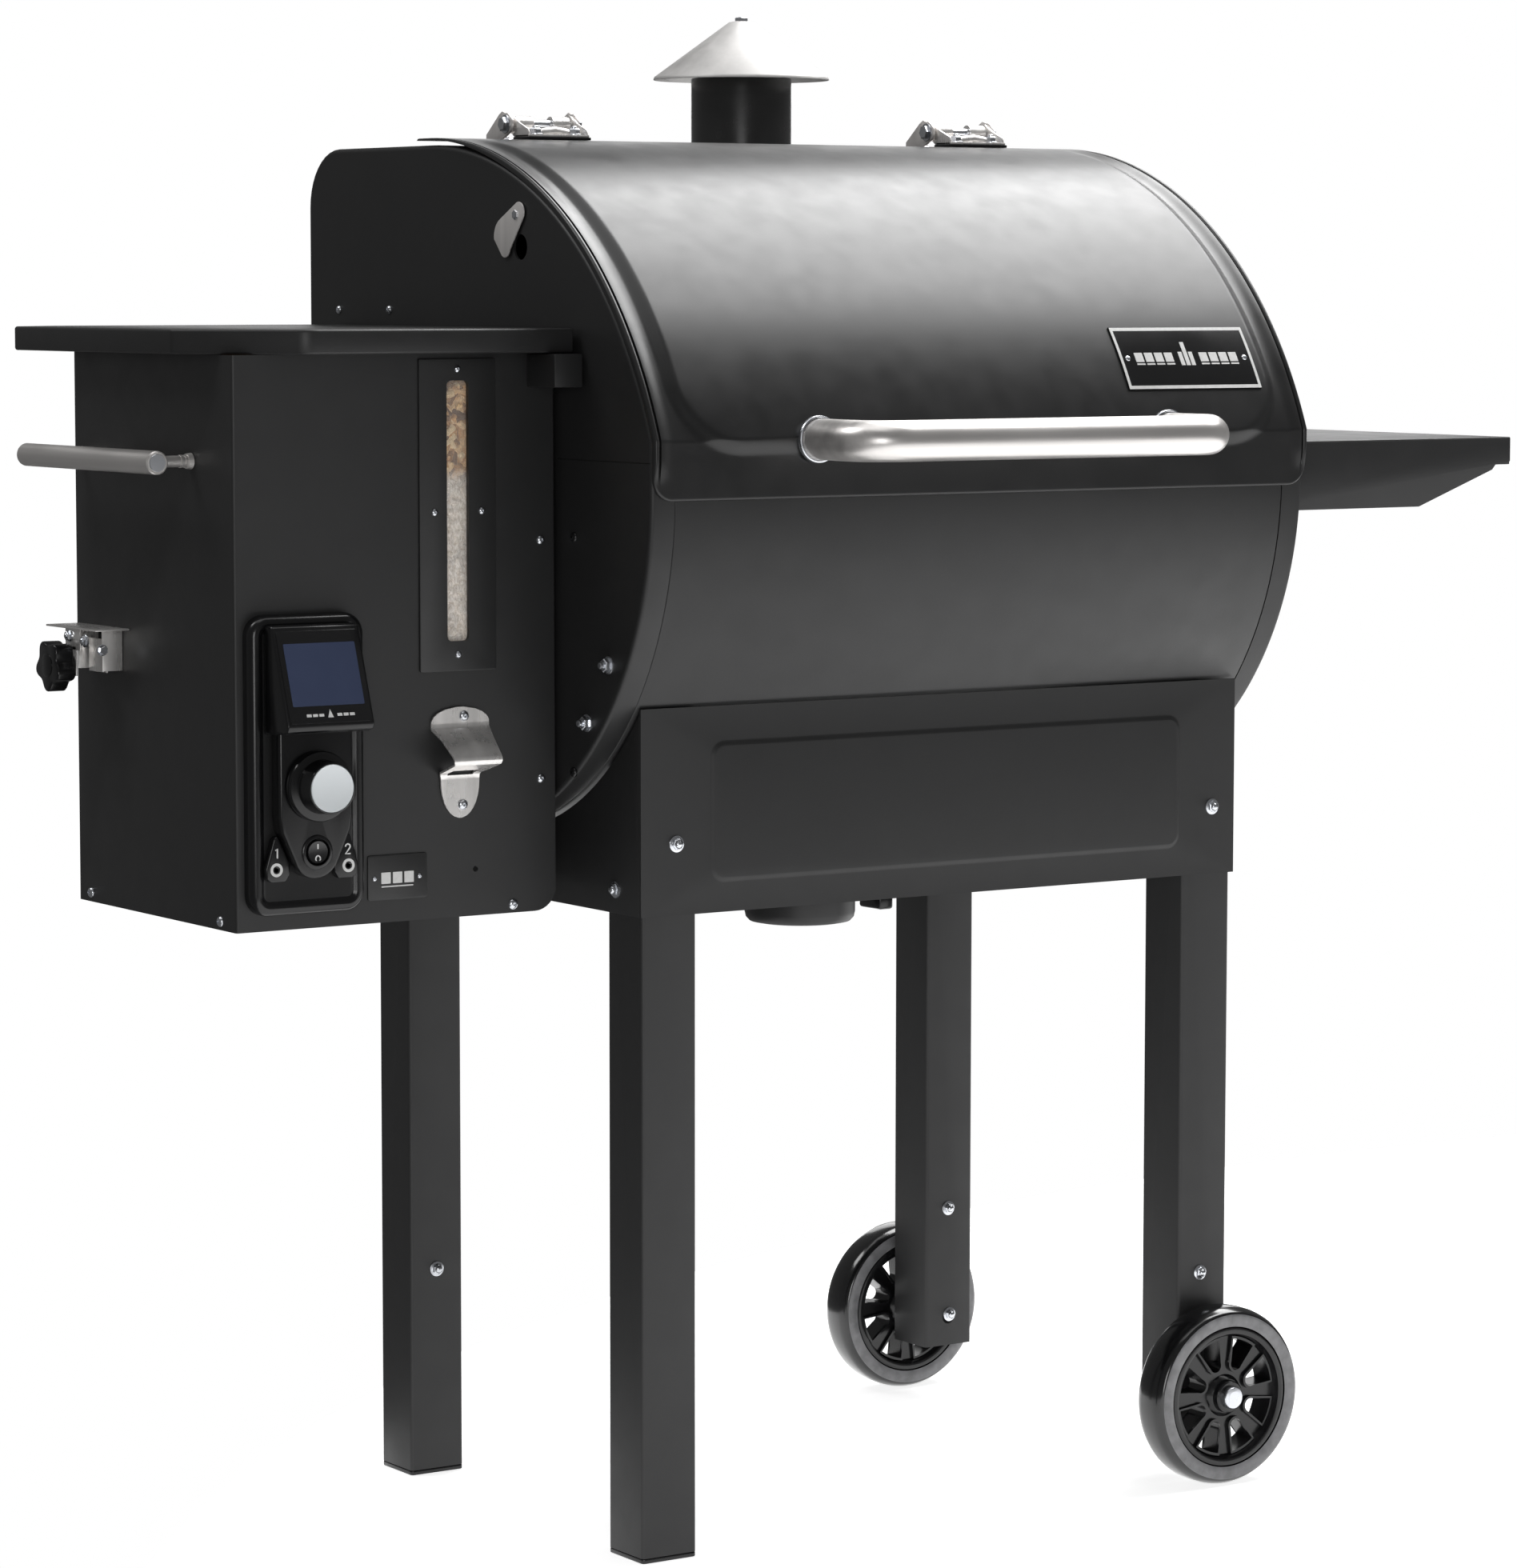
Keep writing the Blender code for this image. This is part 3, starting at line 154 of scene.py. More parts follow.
def scaled(colour, k):
    return tuple(min(1.0, c * k) for c in colour)


def powder(name, colour, rough, grain=0.10, stain_and_edge_highlight=1.9, spec=0.5, coat=0.0):
    """Black powder coat: orange-peel grain, cloudy sheen, and a painted highlight that lightens its edges.
    """
    s = Shader(name, colour, rough, Specular_IOR_Level=spec, Coat_Weight=coat, Coat_Roughness=0.3)
    cloud = s.noise(5.0, 3.0)
    fine = s.noise(1400.0, 2.0)
    peel = s.noise(420.0, 1.0)
    base = s.mix(s.remap(cloud, 0.3, 0.7, 0.0, 1.0), scaled(colour, 0.86), scaled(colour, 1.14))
    speck = s.mix(s.remap(fine, 0.45, 0.75, 0.0, 0.35), base, scaled(colour, 1.8))
    # Painted highlight: the pointiness mask lightens the edges towards a brighter copy of the colour.
    tone = s.mix(s.remap(s.edges(), 0.0, 1.0, 0.0, 0.55), speck, scaled(colour, stain_and_edge_highlight))
    first = s.bump(fine, grain, 0.0003)
    s.bump(peel, grain * 0.5, 0.0005, first)
    return s.finish(tone, s.remap(s.noise(38.0, 4.0), 0.3, 0.7, rough - 0.03, rough + 0.04))


def brushed(name, colour, rough, stretch, strength=0.08, aniso=0.4, tint=0.82, metal=1.0):
    """Stainless steel with fine brush lines drawn out along one direction, and faint handling marks."""
    s = Shader(name, colour, rough, metal, Anisotropic=aniso)
    lines = s.noise(60.0, 3.0, stretch, 0.6)
    marks = s.noise(9.0, 4.0)
    tone = s.mix(s.remap(lines, 0.3, 0.7, 0.0, 1.0), scaled(colour, tint), scaled(colour, 1.08))
    s.bump(lines, strength, 0.0002)
    wear = s.remap(marks, 0.35, 0.75, -0.04, 0.07)
    add = s.tree.nodes.new("ShaderNodeMath")
    s.join(s.remap(lines, 0.25, 0.75, rough - 0.05, rough + 0.07), add.inputs[0])
    s.join(wear, add.inputs[1])
    return s.finish(tone, add.outputs[0])


def plain_metal(name, colour, rough, scale=180.0, stain_and_edge_highlight=0.7):
    s = Shader(name, colour, rough, 1.0)
    grain = s.noise(scale, 4.0)
    stain = s.noise(14.0, 4.0)
    tone = s.mix(s.remap(stain, 0.35, 0.7, 0.0, 1.0), colour, scaled(colour, stain_and_edge_highlight))
    s.bump(grain, 0.10, 0.0003)
    return s.finish(tone, s.remap(stain, 0.3, 0.7, rough - 0.06, rough + 0.10))


def plastic(name, colour, rough, grain=0.06, scale=1100.0, spec=0.5, coat=0.0):
    s = Shader(name, colour, rough, Specular_IOR_Level=spec, Coat_Weight=coat, Coat_Roughness=0.15)
    fine = s.noise(scale, 1.0)
    cloud = s.noise(20.0, 3.0)
    tone = s.mix(s.remap(cloud, 0.3, 0.7, 0.0, 1.0), scaled(colour, 0.9), scaled(colour, 1.15))
    # Painted highlight: the pointiness mask lightens the edges to 2.2 times the colour.
    tone = s.mix(s.remap(s.edges(), 0.0, 1.0, 0.0, 0.35), tone, scaled(colour, 2.2))
    s.bump(fine, grain, 0.0002)
    return s.finish(tone, s.remap(cloud, 0.3, 0.7, rough - 0.03, rough + 0.05))


def paint_mark(name, colour):
    s = Shader(name, colour, 0.5)
    cloud = s.noise(260.0, 2.0)
    tone = s.mix(s.remap(cloud, 0.3, 0.7, 0.0, 1.0), scaled(colour, 0.9), colour)
    return s.finish(tone, s.remap(cloud, 0.3, 0.7, 0.42, 0.55))


def pellet_wood():
    s = Shader("pellet_wood", (0.4, 0.25, 0.13), 0.75)
    shade = s.node("ShaderNodeAttribute")
    shade.attribute_name = "shade"
    ramp = s.node("ShaderNodeValToRGB")
    ramp.color_ramp.elements[0].color = (0.10, 0.036, 0.008, 1)
    ramp.color_ramp.elements[1].color = (1.0, 0.80, 0.50, 1)
    middle = ramp.color_ramp.elements.new(0.5)
    middle.color = (0.80, 0.46, 0.19, 1)
    s.join(shade.outputs["Fac"], ramp.inputs["Fac"])
    fibre = s.noise(700.0, 3.0, (1, 1, 0.4))
    tone = s.mix(s.remap(fibre, 0.3, 0.7, 0.0, 0.5), ramp.outputs["Color"], (0.16, 0.07, 0.02))
    # Below z 0.878 the pellets turn pale grey-white; above z 0.888 they keep the wood tone.
    place = s.node("ShaderNodeSeparateXYZ")
    s.join(s.coord, place.inputs["Vector"])
    grey = s.remap(place.outputs["Z"], 0.888, 0.878, 0.0, 0.86)
    pale_low_tone = s.mix(s.remap(fibre, 0.35, 0.65, 0.0, 1.0), (0.56, 0.51, 0.46), (1.0, 0.96, 0.91))
    s.bump(fibre, 0.35, 0.0006)
    # Painted light: the pellets glow faintly in their own colour.
    s.bsdf.inputs["Emission Strength"].default_value = 0.10
    look = s.mix(grey, tone, pale_low_tone)
    s.join(look, s.bsdf.inputs["Emission Color"])
    return s.finish(look)


def display_blue():
    s = Shader("display_blue", (0.05, 0.065, 0.125), 0.22, Specular_IOR_Level=0.35)
    wave = s.node("ShaderNodeTexWave", Scale=420.0, Distortion=0.0)
    wave.bands_direction = "Z"
    s.join(s.coord, wave.inputs["Vector"])
    cloud = s.noise(30.0, 2.0)
    dark, light = (0.040, 0.053, 0.104), (0.054, 0.070, 0.132)
    tone = s.mix(s.remap(wave.outputs["Fac"], 0.0, 1.0, 0.0, 0.45), light, dark)
    return s.finish(s.mix(s.remap(cloud, 0.3, 0.7, 0.0, 0.4), tone, dark),
                    s.remap(cloud, 0.3, 0.7, 0.18, 0.26))


def clear_glass():
    s = Shader("window_clear", (0.9, 0.9, 0.88), 0.06, Alpha=0.12)
    smear = s.noise(25.0, 3.0)
    return s.finish(None, s.remap(smear, 0.3, 0.7, 0.04, 0.14))


def tread_grey():
    """The tyre's moulded grey side wall, mottled by the mould."""
    s = Shader("tyre_side_grey", (0.17, 0.17, 0.175), 0.42, Coat_Weight=0.3, Coat_Roughness=0.2)
    cloud = s.noise(90.0, 3.0)
    fine = s.noise(600.0, 2.0)
    tone = s.mix(s.remap(cloud, 0.35, 0.65, 0.0, 1.0), (0.135, 0.135, 0.140), (0.205, 0.205, 0.212))
    s.bump(fine, 0.12, 0.0003)
    return s.finish(tone, s.remap(cloud, 0.3, 0.7, 0.35, 0.48))


BLACK = (0.0155, 0.0155, 0.0158)
M = {
    "powder": powder("powder_black", BLACK, 0.44),
    "panel": powder("powder_end_panel", (0.0125, 0.0125, 0.0128), 0.46),
    "frame": powder("powder_frame", (0.0165, 0.0165, 0.0168), 0.48),
    # The lid's edges get a stronger painted highlight.
    "lid": powder("enamel_lid", (0.0125, 0.0125, 0.0128), 0.34, grain=0.05, stain_and_edge_highlight=2.4),
    "flue": powder("flue_black", (0.006, 0.006, 0.006), 0.24, grain=0.02, spec=1.0),
    "bar": brushed("stainless_bar", (0.80, 0.775, 0.755), 0.33, (0.02, 1.2, 1.2), 0.05, 0.3, 0.90, 0.85),
    "cross": brushed("stainless_cross", (0.78, 0.755, 0.735), 0.34, (1.2, 0.02, 1.2), 0.05, 0.3, 0.90, 0.80),
    "plate": brushed("stainless_plate", (0.86, 0.84, 0.82), 0.28, (1.2, 1.2, 0.03), 0.05, 0.3, 0.90, 0.70),
    "flap": brushed("stainless_flap", (0.86, 0.83, 0.81), 0.38, (1.2, 1.2, 0.03), 0.04, 0.3, 0.92, 0.60),
    "cap": brushed("stainless_cap", (0.58, 0.57, 0.56), 0.52, (1.0, 1.0, 0.05), 0.04, 0.2, 0.92, 0.55),
    "zinc": plain_metal("zinc_plate", (0.72, 0.74, 0.78), 0.24, 300.0, 0.85),
    "steel": plain_metal("mill_steel", (0.34, 0.33, 0.31), 0.42),
    "plastic": plastic("moulded_black", (0.0060, 0.0060, 0.0065), 0.22),
    "gloss": plastic("gloss_black", (0.004, 0.004, 0.0045), 0.12, 0.01, 400.0, 0.5, 0.6),
    "rubber": plastic("tread_black", (0.0050, 0.0050, 0.0055), 0.16, 0.05, 500.0, 0.5, 0.6),
    "side": tread_grey(),
    "enamel": powder("porcelain_black", (0.018, 0.018, 0.019), 0.22, grain=0.04),
    "disc": plain_metal("dial_disc", (0.86, 0.90, 0.92), 0.42, 500.0, 0.96),
    "white": paint_mark("print_white", (0.80, 0.80, 0.79)),
    "lcd": display_blue(),
    "glass": clear_glass(),
    "pellet": pellet_wood(),
}


# ---------------------------------------------------------------- mesh helpers

TO_AXIS = {
    "X": Matrix(((0, 0, 1), (1, 0, 0), (0, 1, 0))).to_4x4(),
    "Y": Matrix(((1, 0, 0), (0, 0, -1), (0, 1, 0))).to_4x4(),
    "Z": Matrix.Identity(4),
}


def arc(cy, cz, radius, start, end, steps):
    return [(cy + radius * math.cos(start + (end - start) * i / steps),
             cz + radius * math.sin(start + (end - start) * i / steps)) for i in range(steps + 1)]


def rounded(x0, x1, z0, z1, radii, steps=6):
    """A rounded rectangle, anticlockwise from its top right corner. radii: one, or TR, TL, BL, BR."""
    radii = radii if isinstance(radii, tuple) else (radii,) * 4
    ends = ((x1, z1, -1, -1), (x0, z1, 1, -1), (x0, z0, 1, 1), (x1, z0, -1, 1))
    points = []
    for quarter, (r, (x, z, sx, sz)) in enumerate(zip(radii, ends)):
        if r <= 0:
            points.append((x, z))
        else:
            points += arc(x + sx * r, z + sz * r, r, quarter * math.pi / 2, (quarter + 1) * math.pi / 2,
                          steps)
    return points


def join_into(bm, part):
    mesh = bpy.data.meshes.new("part")
    part.to_mesh(mesh)
    part.free()
    bm.from_mesh(mesh)
    bpy.data.meshes.remove(mesh)
    return bm


def together(*parts):
    bm = bmesh.new()
    for part in parts:
        join_into(bm, part)
    return bm


def bevel_sharp(bm, width, segments=2, above=0.5):
    bmesh.ops.recalc_face_normals(bm, faces=bm.faces[:])
    edges = [e for e in bm.edges if len(e.link_faces) == 2 and e.calc_face_angle() > above]
    bmesh.ops.bevel(bm, geom=edges, offset=width, offset_type="OFFSET", segments=segments, profile=0.5,
                    affect="EDGES", clamp_overlap=True)
    return bm


def prism(outline, lo, hi, axis="X", edge=0.0, segments=2):
    """Carry a closed outline from lo to hi; pairs are (Y, Z), (X, Z) or (X, Y)."""
    bm = bmesh.new()
    place = {"X": lambda a, b, c: (c, a, b), "Y": lambda a, b, c: (a, c, b),
             "Z": lambda a, b, c: (a, b, c)}[axis]
    first = [bm.verts.new(place(a, b, lo)) for a, b in outline]
    second = [bm.verts.new(place(a, b, hi)) for a, b in outline]
    count = len(outline)
    bm.faces.new(first)
    bm.faces.new(second[::-1])
    for k in range(count):
        bm.faces.new((first[k], second[k], second[(k + 1) % count], first[(k + 1) % count]))
    bmesh.ops.recalc_face_normals(bm, faces=bm.faces[:])
    return bevel_sharp(bm, edge, segments) if edge else bm


def box(lo, hi, edge=0.0, segments=2):
    outline = [(lo[0], lo[1]), (hi[0], lo[1]), (hi[0], hi[1]), (lo[0], hi[1])]
    return prism(outline, lo[2], hi[2], "Z", edge, segments)


def lathe(profile, centre, axis="Z", steps=48, closed=True):
    """Turn a profile of (radius, height) pairs; axis Y runs towards the front."""
    bm = bmesh.new()
    rings = []
    for r, h in profile:
        if r < 1e-7:
            rings.append([bm.verts.new((0, 0, h))])
        else:
            rings.append([bm.verts.new((r * math.cos(math.tau * k / steps),
                                        r * math.sin(math.tau * k / steps), h))
                          for k in range(steps)])
    pairs = list(zip(rings, rings[1:] + rings[:1])) if closed else list(zip(rings, rings[1:]))
    for first, second in pairs:
        for k in range(steps):
            corners = [first[k % len(first)], first[(k + 1) % len(first)],
                       second[(k + 1) % len(second)], second[k % len(second)]]
            corners = list(dict.fromkeys(corners))
            if len(corners) > 2:
                bm.faces.new(corners)
    bmesh.ops.transform(bm, matrix=Matrix.Translation(centre) @ TO_AXIS[axis], verts=bm.verts[:])
    bmesh.ops.recalc_face_normals(bm, faces=bm.faces[:])
    return bm


def rod(radius, end, start=0):
    """The profile of a plain round bar, for lathe."""
    return [(0, start), (radius, start), (radius, end), (0, end)]


def sweep(path, radius, sides=32, up=Vector((0, 0, 1)), caps=True):
    bm = bmesh.new()
    rings = []
    for i, point in enumerate(path):
        before, after = Vector(path[max(i - 1, 0)]), Vector(path[min(i + 1, len(path) - 1)])
        along = (after - before).normalized()
        out = along.cross(up).normalized()
        lift = out.cross(along)
        rings.append([bm.verts.new(Vector(point) + (out * math.cos(math.tau * k / sides)
                                                   + lift * math.sin(math.tau * k / sides)) * radius)
                      for k in range(sides)])
    for first, second in zip(rings, rings[1:]):
        for k in range(sides):
            bm.faces.new((first[k], first[(k + 1) % sides], second[(k + 1) % sides], second[k]))
    if caps:
        bm.faces.new(rings[0][::-1])
        bm.faces.new(rings[-1])
    bmesh.ops.recalc_face_normals(bm, faces=bm.faces[:])
    return bm


def skin(outer, inner, closed_u=False):
    """A closed sheet between two grids of points of the same size, rows along the first index."""
    bm = bmesh.new()
    grids = [[[bm.verts.new(p) for p in row] for row in grid] for grid in (outer, inner)]
    rows, cols = len(outer), len(outer[0])
    for grid, flip in zip(grids, (False, True)):
        for i in range(rows - 1):
            for j in range(cols - (0 if closed_u else 1)):
                quad = [grid[i][j], grid[i][(j + 1) % cols], grid[i + 1][(j + 1) % cols], grid[i + 1][j]]
                bm.faces.new(quad[::-1] if flip else quad)
    a, b = grids
    for i in (0, rows - 1):
        for j in range(cols - (0 if closed_u else 1)):
            bm.faces.new((a[i][j], b[i][j], b[i][(j + 1) % cols], a[i][(j + 1) % cols]))
    if not closed_u:
        for j in (0, cols - 1):
            for i in range(rows - 1):
                bm.faces.new((a[i][j], a[i + 1][j], b[i + 1][j], b[i][j]))
    bmesh.ops.recalc_face_normals(bm, faces=bm.faces[:])
    return bm


def ribbon(path, thickness):
    """Outline of a sheet whose outer face follows path, with the metal to its left."""
    inner = []
    for i, (a, b) in enumerate(path):
        here = Vector((a, b))
        before, after = Vector(path[max(i - 1, 0)]), Vector(path[min(i + 1, len(path) - 1)])
        first = (here - before).normalized() if i else (after - here).normalized()
        second = (after - here).normalized() if i < len(path) - 1 else first
        middle = (first + second).normalized()
        normal = Vector((-middle.y, middle.x))
        inner.append(tuple(here + normal * (thickness / max(0.5, normal.dot(Vector((-first.y, first.x)))))))
    return list(path) + inner[::-1]


def cut(bm, *cutters):
    """Take cutters out of bm with the exact solver."""
    def stand_in(part):
        mesh = bpy.data.meshes.new("cut")
        bmesh.ops.recalc_face_normals(part, faces=part.faces[:])
        part.to_mesh(mesh)
        part.free()
        made = bpy.data.objects.new("cut", mesh)
        bpy.context.scene.collection.objects.link(made)
        return made
    bmesh.ops.remove_doubles(bm, verts=bm.verts[:], dist=1e-6)
    target = stand_in(bm)
    tools = [stand_in(part) for part in cutters]
    for tool in tools:
        mod = target.modifiers.new("cut", "BOOLEAN")
        mod.operation, mod.solver, mod.object = "DIFFERENCE", "EXACT", tool
    bpy.context.view_layer.update()
    result = bpy.data.meshes.new_from_object(target.evaluated_get(bpy.context.evaluated_depsgraph_get()))
    out = bmesh.new()
    out.from_mesh(result)
    for ob in [target] + tools:
        mesh = ob.data
        bpy.data.objects.remove(ob)
        bpy.data.meshes.remove(mesh)
    bpy.data.meshes.remove(result)
    return out


def piece(name, bm, look, body="grill", node=None, smooth=35.0, weld=1e-6):
    """Make a shown piece that rides on a body; node is the CAD node, or nodes, that it stands for."""
    if weld:
        bmesh.ops.remove_doubles(bm, verts=bm.verts[:], dist=weld)
    bmesh.ops.recalc_face_normals(bm, faces=bm.faces[:])
    limit = math.radians(smooth)
    for face in bm.faces:
        face.smooth = True
    for edge in bm.edges:
        edge.smooth = len(edge.link_faces) != 2 or edge.calc_face_angle() < limit
    bmesh.ops.translate(bm, verts=bm.verts[:], vec=SHIFT)
    mesh = bpy.data.meshes.new(name)
    bm.to_mesh(mesh)
    bm.free()
    for key in (look if isinstance(look, tuple) else (look,)):
        mesh.materials.append(M[key])
    ob = bpy.data.objects.new(name, mesh)
    bpy.context.scene.collection.objects.link(ob)
    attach(ob, body)
    if node:
        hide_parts(*(node if isinstance(node, tuple) else (node,)))
    return ob


def harden(ob, width, segments=2, angle=35.0):
    """Round the piece's edges and keep its flat faces flat."""
    mod = ob.modifiers.new("edge", "BEVEL")
    mod.width, mod.segments, mod.limit_method = width, segments, "ANGLE"
    mod.angle_limit = math.radians(angle)
    mod.use_clamp_overlap = True
    mod.harden_normals = True
    return ob


def facing(pos, normal):
    """A transform that stands +Z along normal at pos."""
    return Matrix.Translation(pos) @ Vector(normal).to_track_quat("Z", "Y").to_matrix().to_4x4()


def turned(profile, pos, normal, steps=24, turn=0.0):
    bm = lathe(profile, (0, 0, 0), "Z", steps)
    matrix = facing(pos, normal) @ Matrix.Rotation(turn, 4, "Z")
    bmesh.ops.transform(bm, matrix=matrix, verts=bm.verts[:])
    return bm


def pan_screw(pos, normal, r=0.0045):
    """A domed head with a small socket."""
    dome = [(r * math.cos(a), r * 0.62 * math.sin(a)) for a in (0, 0.35, 0.7, 1.0, 1.2)]
    rim = dome[-1][0]
    profile = [(0.0, -0.001), (r * 0.98, -0.001)] + dome + [(rim * 0.9, dome[-1][1]),
                                                            (rim * 0.8, dome[-1][1] - r * 0.28),
                                                           (0.0, dome[-1][1] - r * 0.30)]
    return turned(profile, pos, normal, 20)


def hex_bolt(pos, normal, r=0.0055, tall=0.004, washer=True, stud=0.0):
    """A hex head or nut on a washer, with the stud's end standing out of it when stud is given."""
    turn = random.uniform(0, 1.0)
    parts = []
    base = 0.0
    if washer:
        w = r * 1.28
        parts.append(turned([(0, -0.0005), (w, -0.0005), (w, 0.0008), (w - 0.0003, 0.0011), (0, 0.0011)],
                            pos, normal, 28))
        base = 0.0011
    parts.append(turned([(0, base), (r, base), (r, base + tall * 0.82), (r * 0.86, base + tall),
                         (0, base + tall)],
                        pos, normal, 6, turn))
    if stud:
        top = base + tall + stud
        parts.append(turned([(0, base), (r * 0.52, base), (r * 0.52, top - 0.0006), (r * 0.40, top),
                             (0, top)],
                            pos, normal, 16))
    return together(*parts)


# ---------------------------------------------------------------- barrel section

def low_arc(inset, steps, end=-math.pi):
    radius = LOW_R - inset
    return arc(LOW_Y, LOW_Z, radius, -math.acos((BACK_Y - inset - LOW_Y) / radius), end, steps)


def up_arc(outset, front_y, steps):
    radius = UP_R + outset
    start = math.pi - math.asin(math.sqrt(radius ** 2 - (UP_Y - front_y) ** 2) / radius)
    return arc(UP_Y, UP_Z, radius, start, math.pi / 2, steps)


def section(inset):
    corner = arc(BACK_Y - CORNER_R, UP_Z + UP_R - CORNER_R, CORNER_R - inset, math.pi / 2, 0.0, 10)
    return low_arc(inset, 80) + up_arc(-inset, LOW_Y - LOW_R + inset, 56) + corner


def end_panel(side):
    rim = 0.0042
    rings = [(BARREL_X - rim * (1 - math.cos(a)), rim * (1 - math.sin(a)))
             for a in [k * math.pi / 12 for k in range(7)]]
    rings += [(BARREL_X - PANEL_FLANGE, 0.0), (BARREL_X - PANEL_FLANGE, SHEET), (BARREL_X - rim, SHEET),
              (BARREL_X - SHEET, rim)]
    bm = bmesh.new()
    loops = [[bm.verts.new((side * x, y, z)) for y, z in section(inset)] for x, inset in rings]
    count = len(loops[0])
    for first, second in zip(loops, loops[1:]):
        for k in range(count):
            bm.faces.new((first[k], first[(k + 1) % count], second[(k + 1) % count], second[k]))
    bm.faces.new(loops[0])
    bm.faces.new(loops[-1][::-1])
    return bm


def build_barrel():
    def drill(radius, y, z):
        return lathe(rod(radius, 0.01, -0.03), (-BARREL_X, y, z), "X", 32)

    left = end_panel(-1)
    groove = box((-BARREL_X - 0.001, -0.272, 0.8936), (-BARREL_X + 0.0007, -0.132, 0.8944))
    left = cut(left, drill(0.0105, -0.0757, 1.0636), drill(0.0258, 0.0, AUGER_Z),
               drill(0.0048, 0.036, AUGER_Z),
               drill(0.0032, 0.110, 0.905), groove)
    piece("end_panel_left_pressed", left, "panel", node="end_panel_left")
    right = end_panel(1)
    piece("end_panel_right_pressed", right, "panel", node="end_panel_right")

    reach = BARREL_X - PANEL_FLANGE - 0.0004
    front_y = LOW_Y - LOW_R
    wrap = [(BACK_Y, 0.770)] + low_arc(0.0, 96) + [(front_y, 0.900)]
    outer, inner = [], []
    lip = 0.0010
    xs = [-reach, -reach + 0.0003, -reach + lip, reach - lip, reach - 0.0003, reach]
    drop = [lip, lip * 0.4, 0.0, 0.0, lip * 0.4, lip]
    outline = ribbon(wrap[::-1], SHEET)
    half = len(wrap)
    for j in range(half):
        (y, z), (iy, iz) = outline[j], outline[2 * half - 1 - j]
        inward = (Vector((iy, iz)) - Vector((y, z))).normalized()
        outer.append([(x, y + inward.x * d, z + inward.y * d) for x, d in zip(xs, drop)])
        inner.append([(x, iy, iz) for x in xs])
    shell = skin(outer, inner)
    shell = cut(shell, lathe(rod(0.040, 0.61, 0.55), (-0.003, 0, 0), "Z", 40))
    piece("barrel_shell_rolled", shell, "powder", node="barrel_shell")

    corner = arc(BACK_Y - CORNER_R, UP_Z + UP_R - CORNER_R, CORNER_R, 0.0, math.pi / 2, 16)
    back = [(BACK_Y, 0.7703)] + corner + [(0.100, UP_Z + UP_R)]
    rear = prism(ribbon(back, SHEET), -reach, reach)
    rear = cut(rear, lathe(rod(0.0444, 0.03), (FLUE_X, BACK_Y + 0.01, FLUE_Z), "Y", 48))
    piece("rear_panel_pressed", rear, "powder", node="rear_panel")

    screws = []
    for z in (0.82, 0.93, 1.04):
        for x in (-0.290, 0.290):
            screws.append(pan_screw((x, BACK_Y + 0.0002, z), (0, 1, 0), 0.0042))
    for side, marks in ((-1, ((0.2279, 1.0114), (0.1406, 1.0118))),
                        (1, ((0.2279, 1.0114), (0.1406, 1.0118)))):
        for y, z in marks:
            screws.append(pan_screw((side * (BARREL_X + 0.0001), y, z), (side, 0, 0), 0.0036))
    for y, z in ((-0.2102, 0.7322), (-0.1775, 0.6837)):
        screws.append(hex_bolt((-BARREL_X - 0.0001, y, z), (-1, 0, 0), 0.0056, 0.0046, True, 0.0035))
    for y, z in ((-0.120, 0.800), (0.120, 0.800), (-0.120, 0.780), (0.120, 0.780)):
        screws.append(hex_bolt((BARREL_X + 0.0001, y, z), (1, 0, 0), 0.0052, 0.004))
    piece("barrel_screws", together(*screws), "zinc")
    faint = [pan_screw((-BARREL_X - 0.0001, y, z), (-1, 0, 0), 0.0042)
             for y, z in ((-0.1579, 0.8318), (-0.1563, 0.6424))]
    piece("barrel_black_screws", together(*faint), "plastic")


# ---------------------------------------------------------------- lid

def lid_point(s, lift=0.0):
    """Point and outward normal on the lid's outer face, s metres up from the lip."""
    start_z = UP_Z + math.sqrt(LID_R ** 2 - (UP_Y - LID_FRONT_Y) ** 2)
    straight = start_z - LID_LIP_Z
    if s < straight:
        y, z, ny, nz = LID_FRONT_Y, LID_LIP_Z + s, -1.0, 0.0
        angle = math.pi - math.asin((start_z - UP_Z) / LID_R)
        blend = max(0.0, min(1.0, (s - straight + 0.012) / 0.012))
        ny = -1.0 + blend * (math.cos(angle) + 1.0)
        nz = blend * math.sin(angle)
    else:
        a0 = math.pi - math.asin((start_z - UP_Z) / LID_R)
        angle = a0 - (s - straight) / LID_R
        if angle > math.pi / 2:
            ny, nz = math.cos(angle), math.sin(angle)
            y, z = UP_Y + LID_R * ny, UP_Z + LID_R * nz
        else:
            ny, nz = 0.0, 1.0
            y = UP_Y + (math.pi / 2 - angle) * LID_R
            z = UP_Z + LID_R
    return y + ny * lift, z + nz * lift, ny, nz


def lid_length():
    start_z = UP_Z + math.sqrt(LID_R ** 2 - (UP_Y - LID_FRONT_Y) ** 2)
    turn = math.pi / 2 - math.asin((start_z - UP_Z) / LID_R)
    return start_z - LID_LIP_Z + turn * LID_R + LID_REAR_Y - UP_Y


def smoothstep(t):
    t = max(0.0, min(1.0, t))
    return t * t * (3 - 2 * t)


def lid_lift(x, s):
    """How far the pressed middle of the lid stands out of its border."""
    bx, bs, r = LID_X - 0.0275, 0.0405, 0.058
    qx, qs = abs(x) - (bx - r), (bs + r) - s
    d = math.hypot(max(qx, 0.0), max(qs, 0.0)) + min(max(qx, qs), 0.0) - r
    fade = 1.0 - smoothstep((s - 0.36) / 0.13)
    return BORDER * fade + (EMBOSS - BORDER) * fade * (1.0 - smoothstep(d / 0.013 + 0.5))


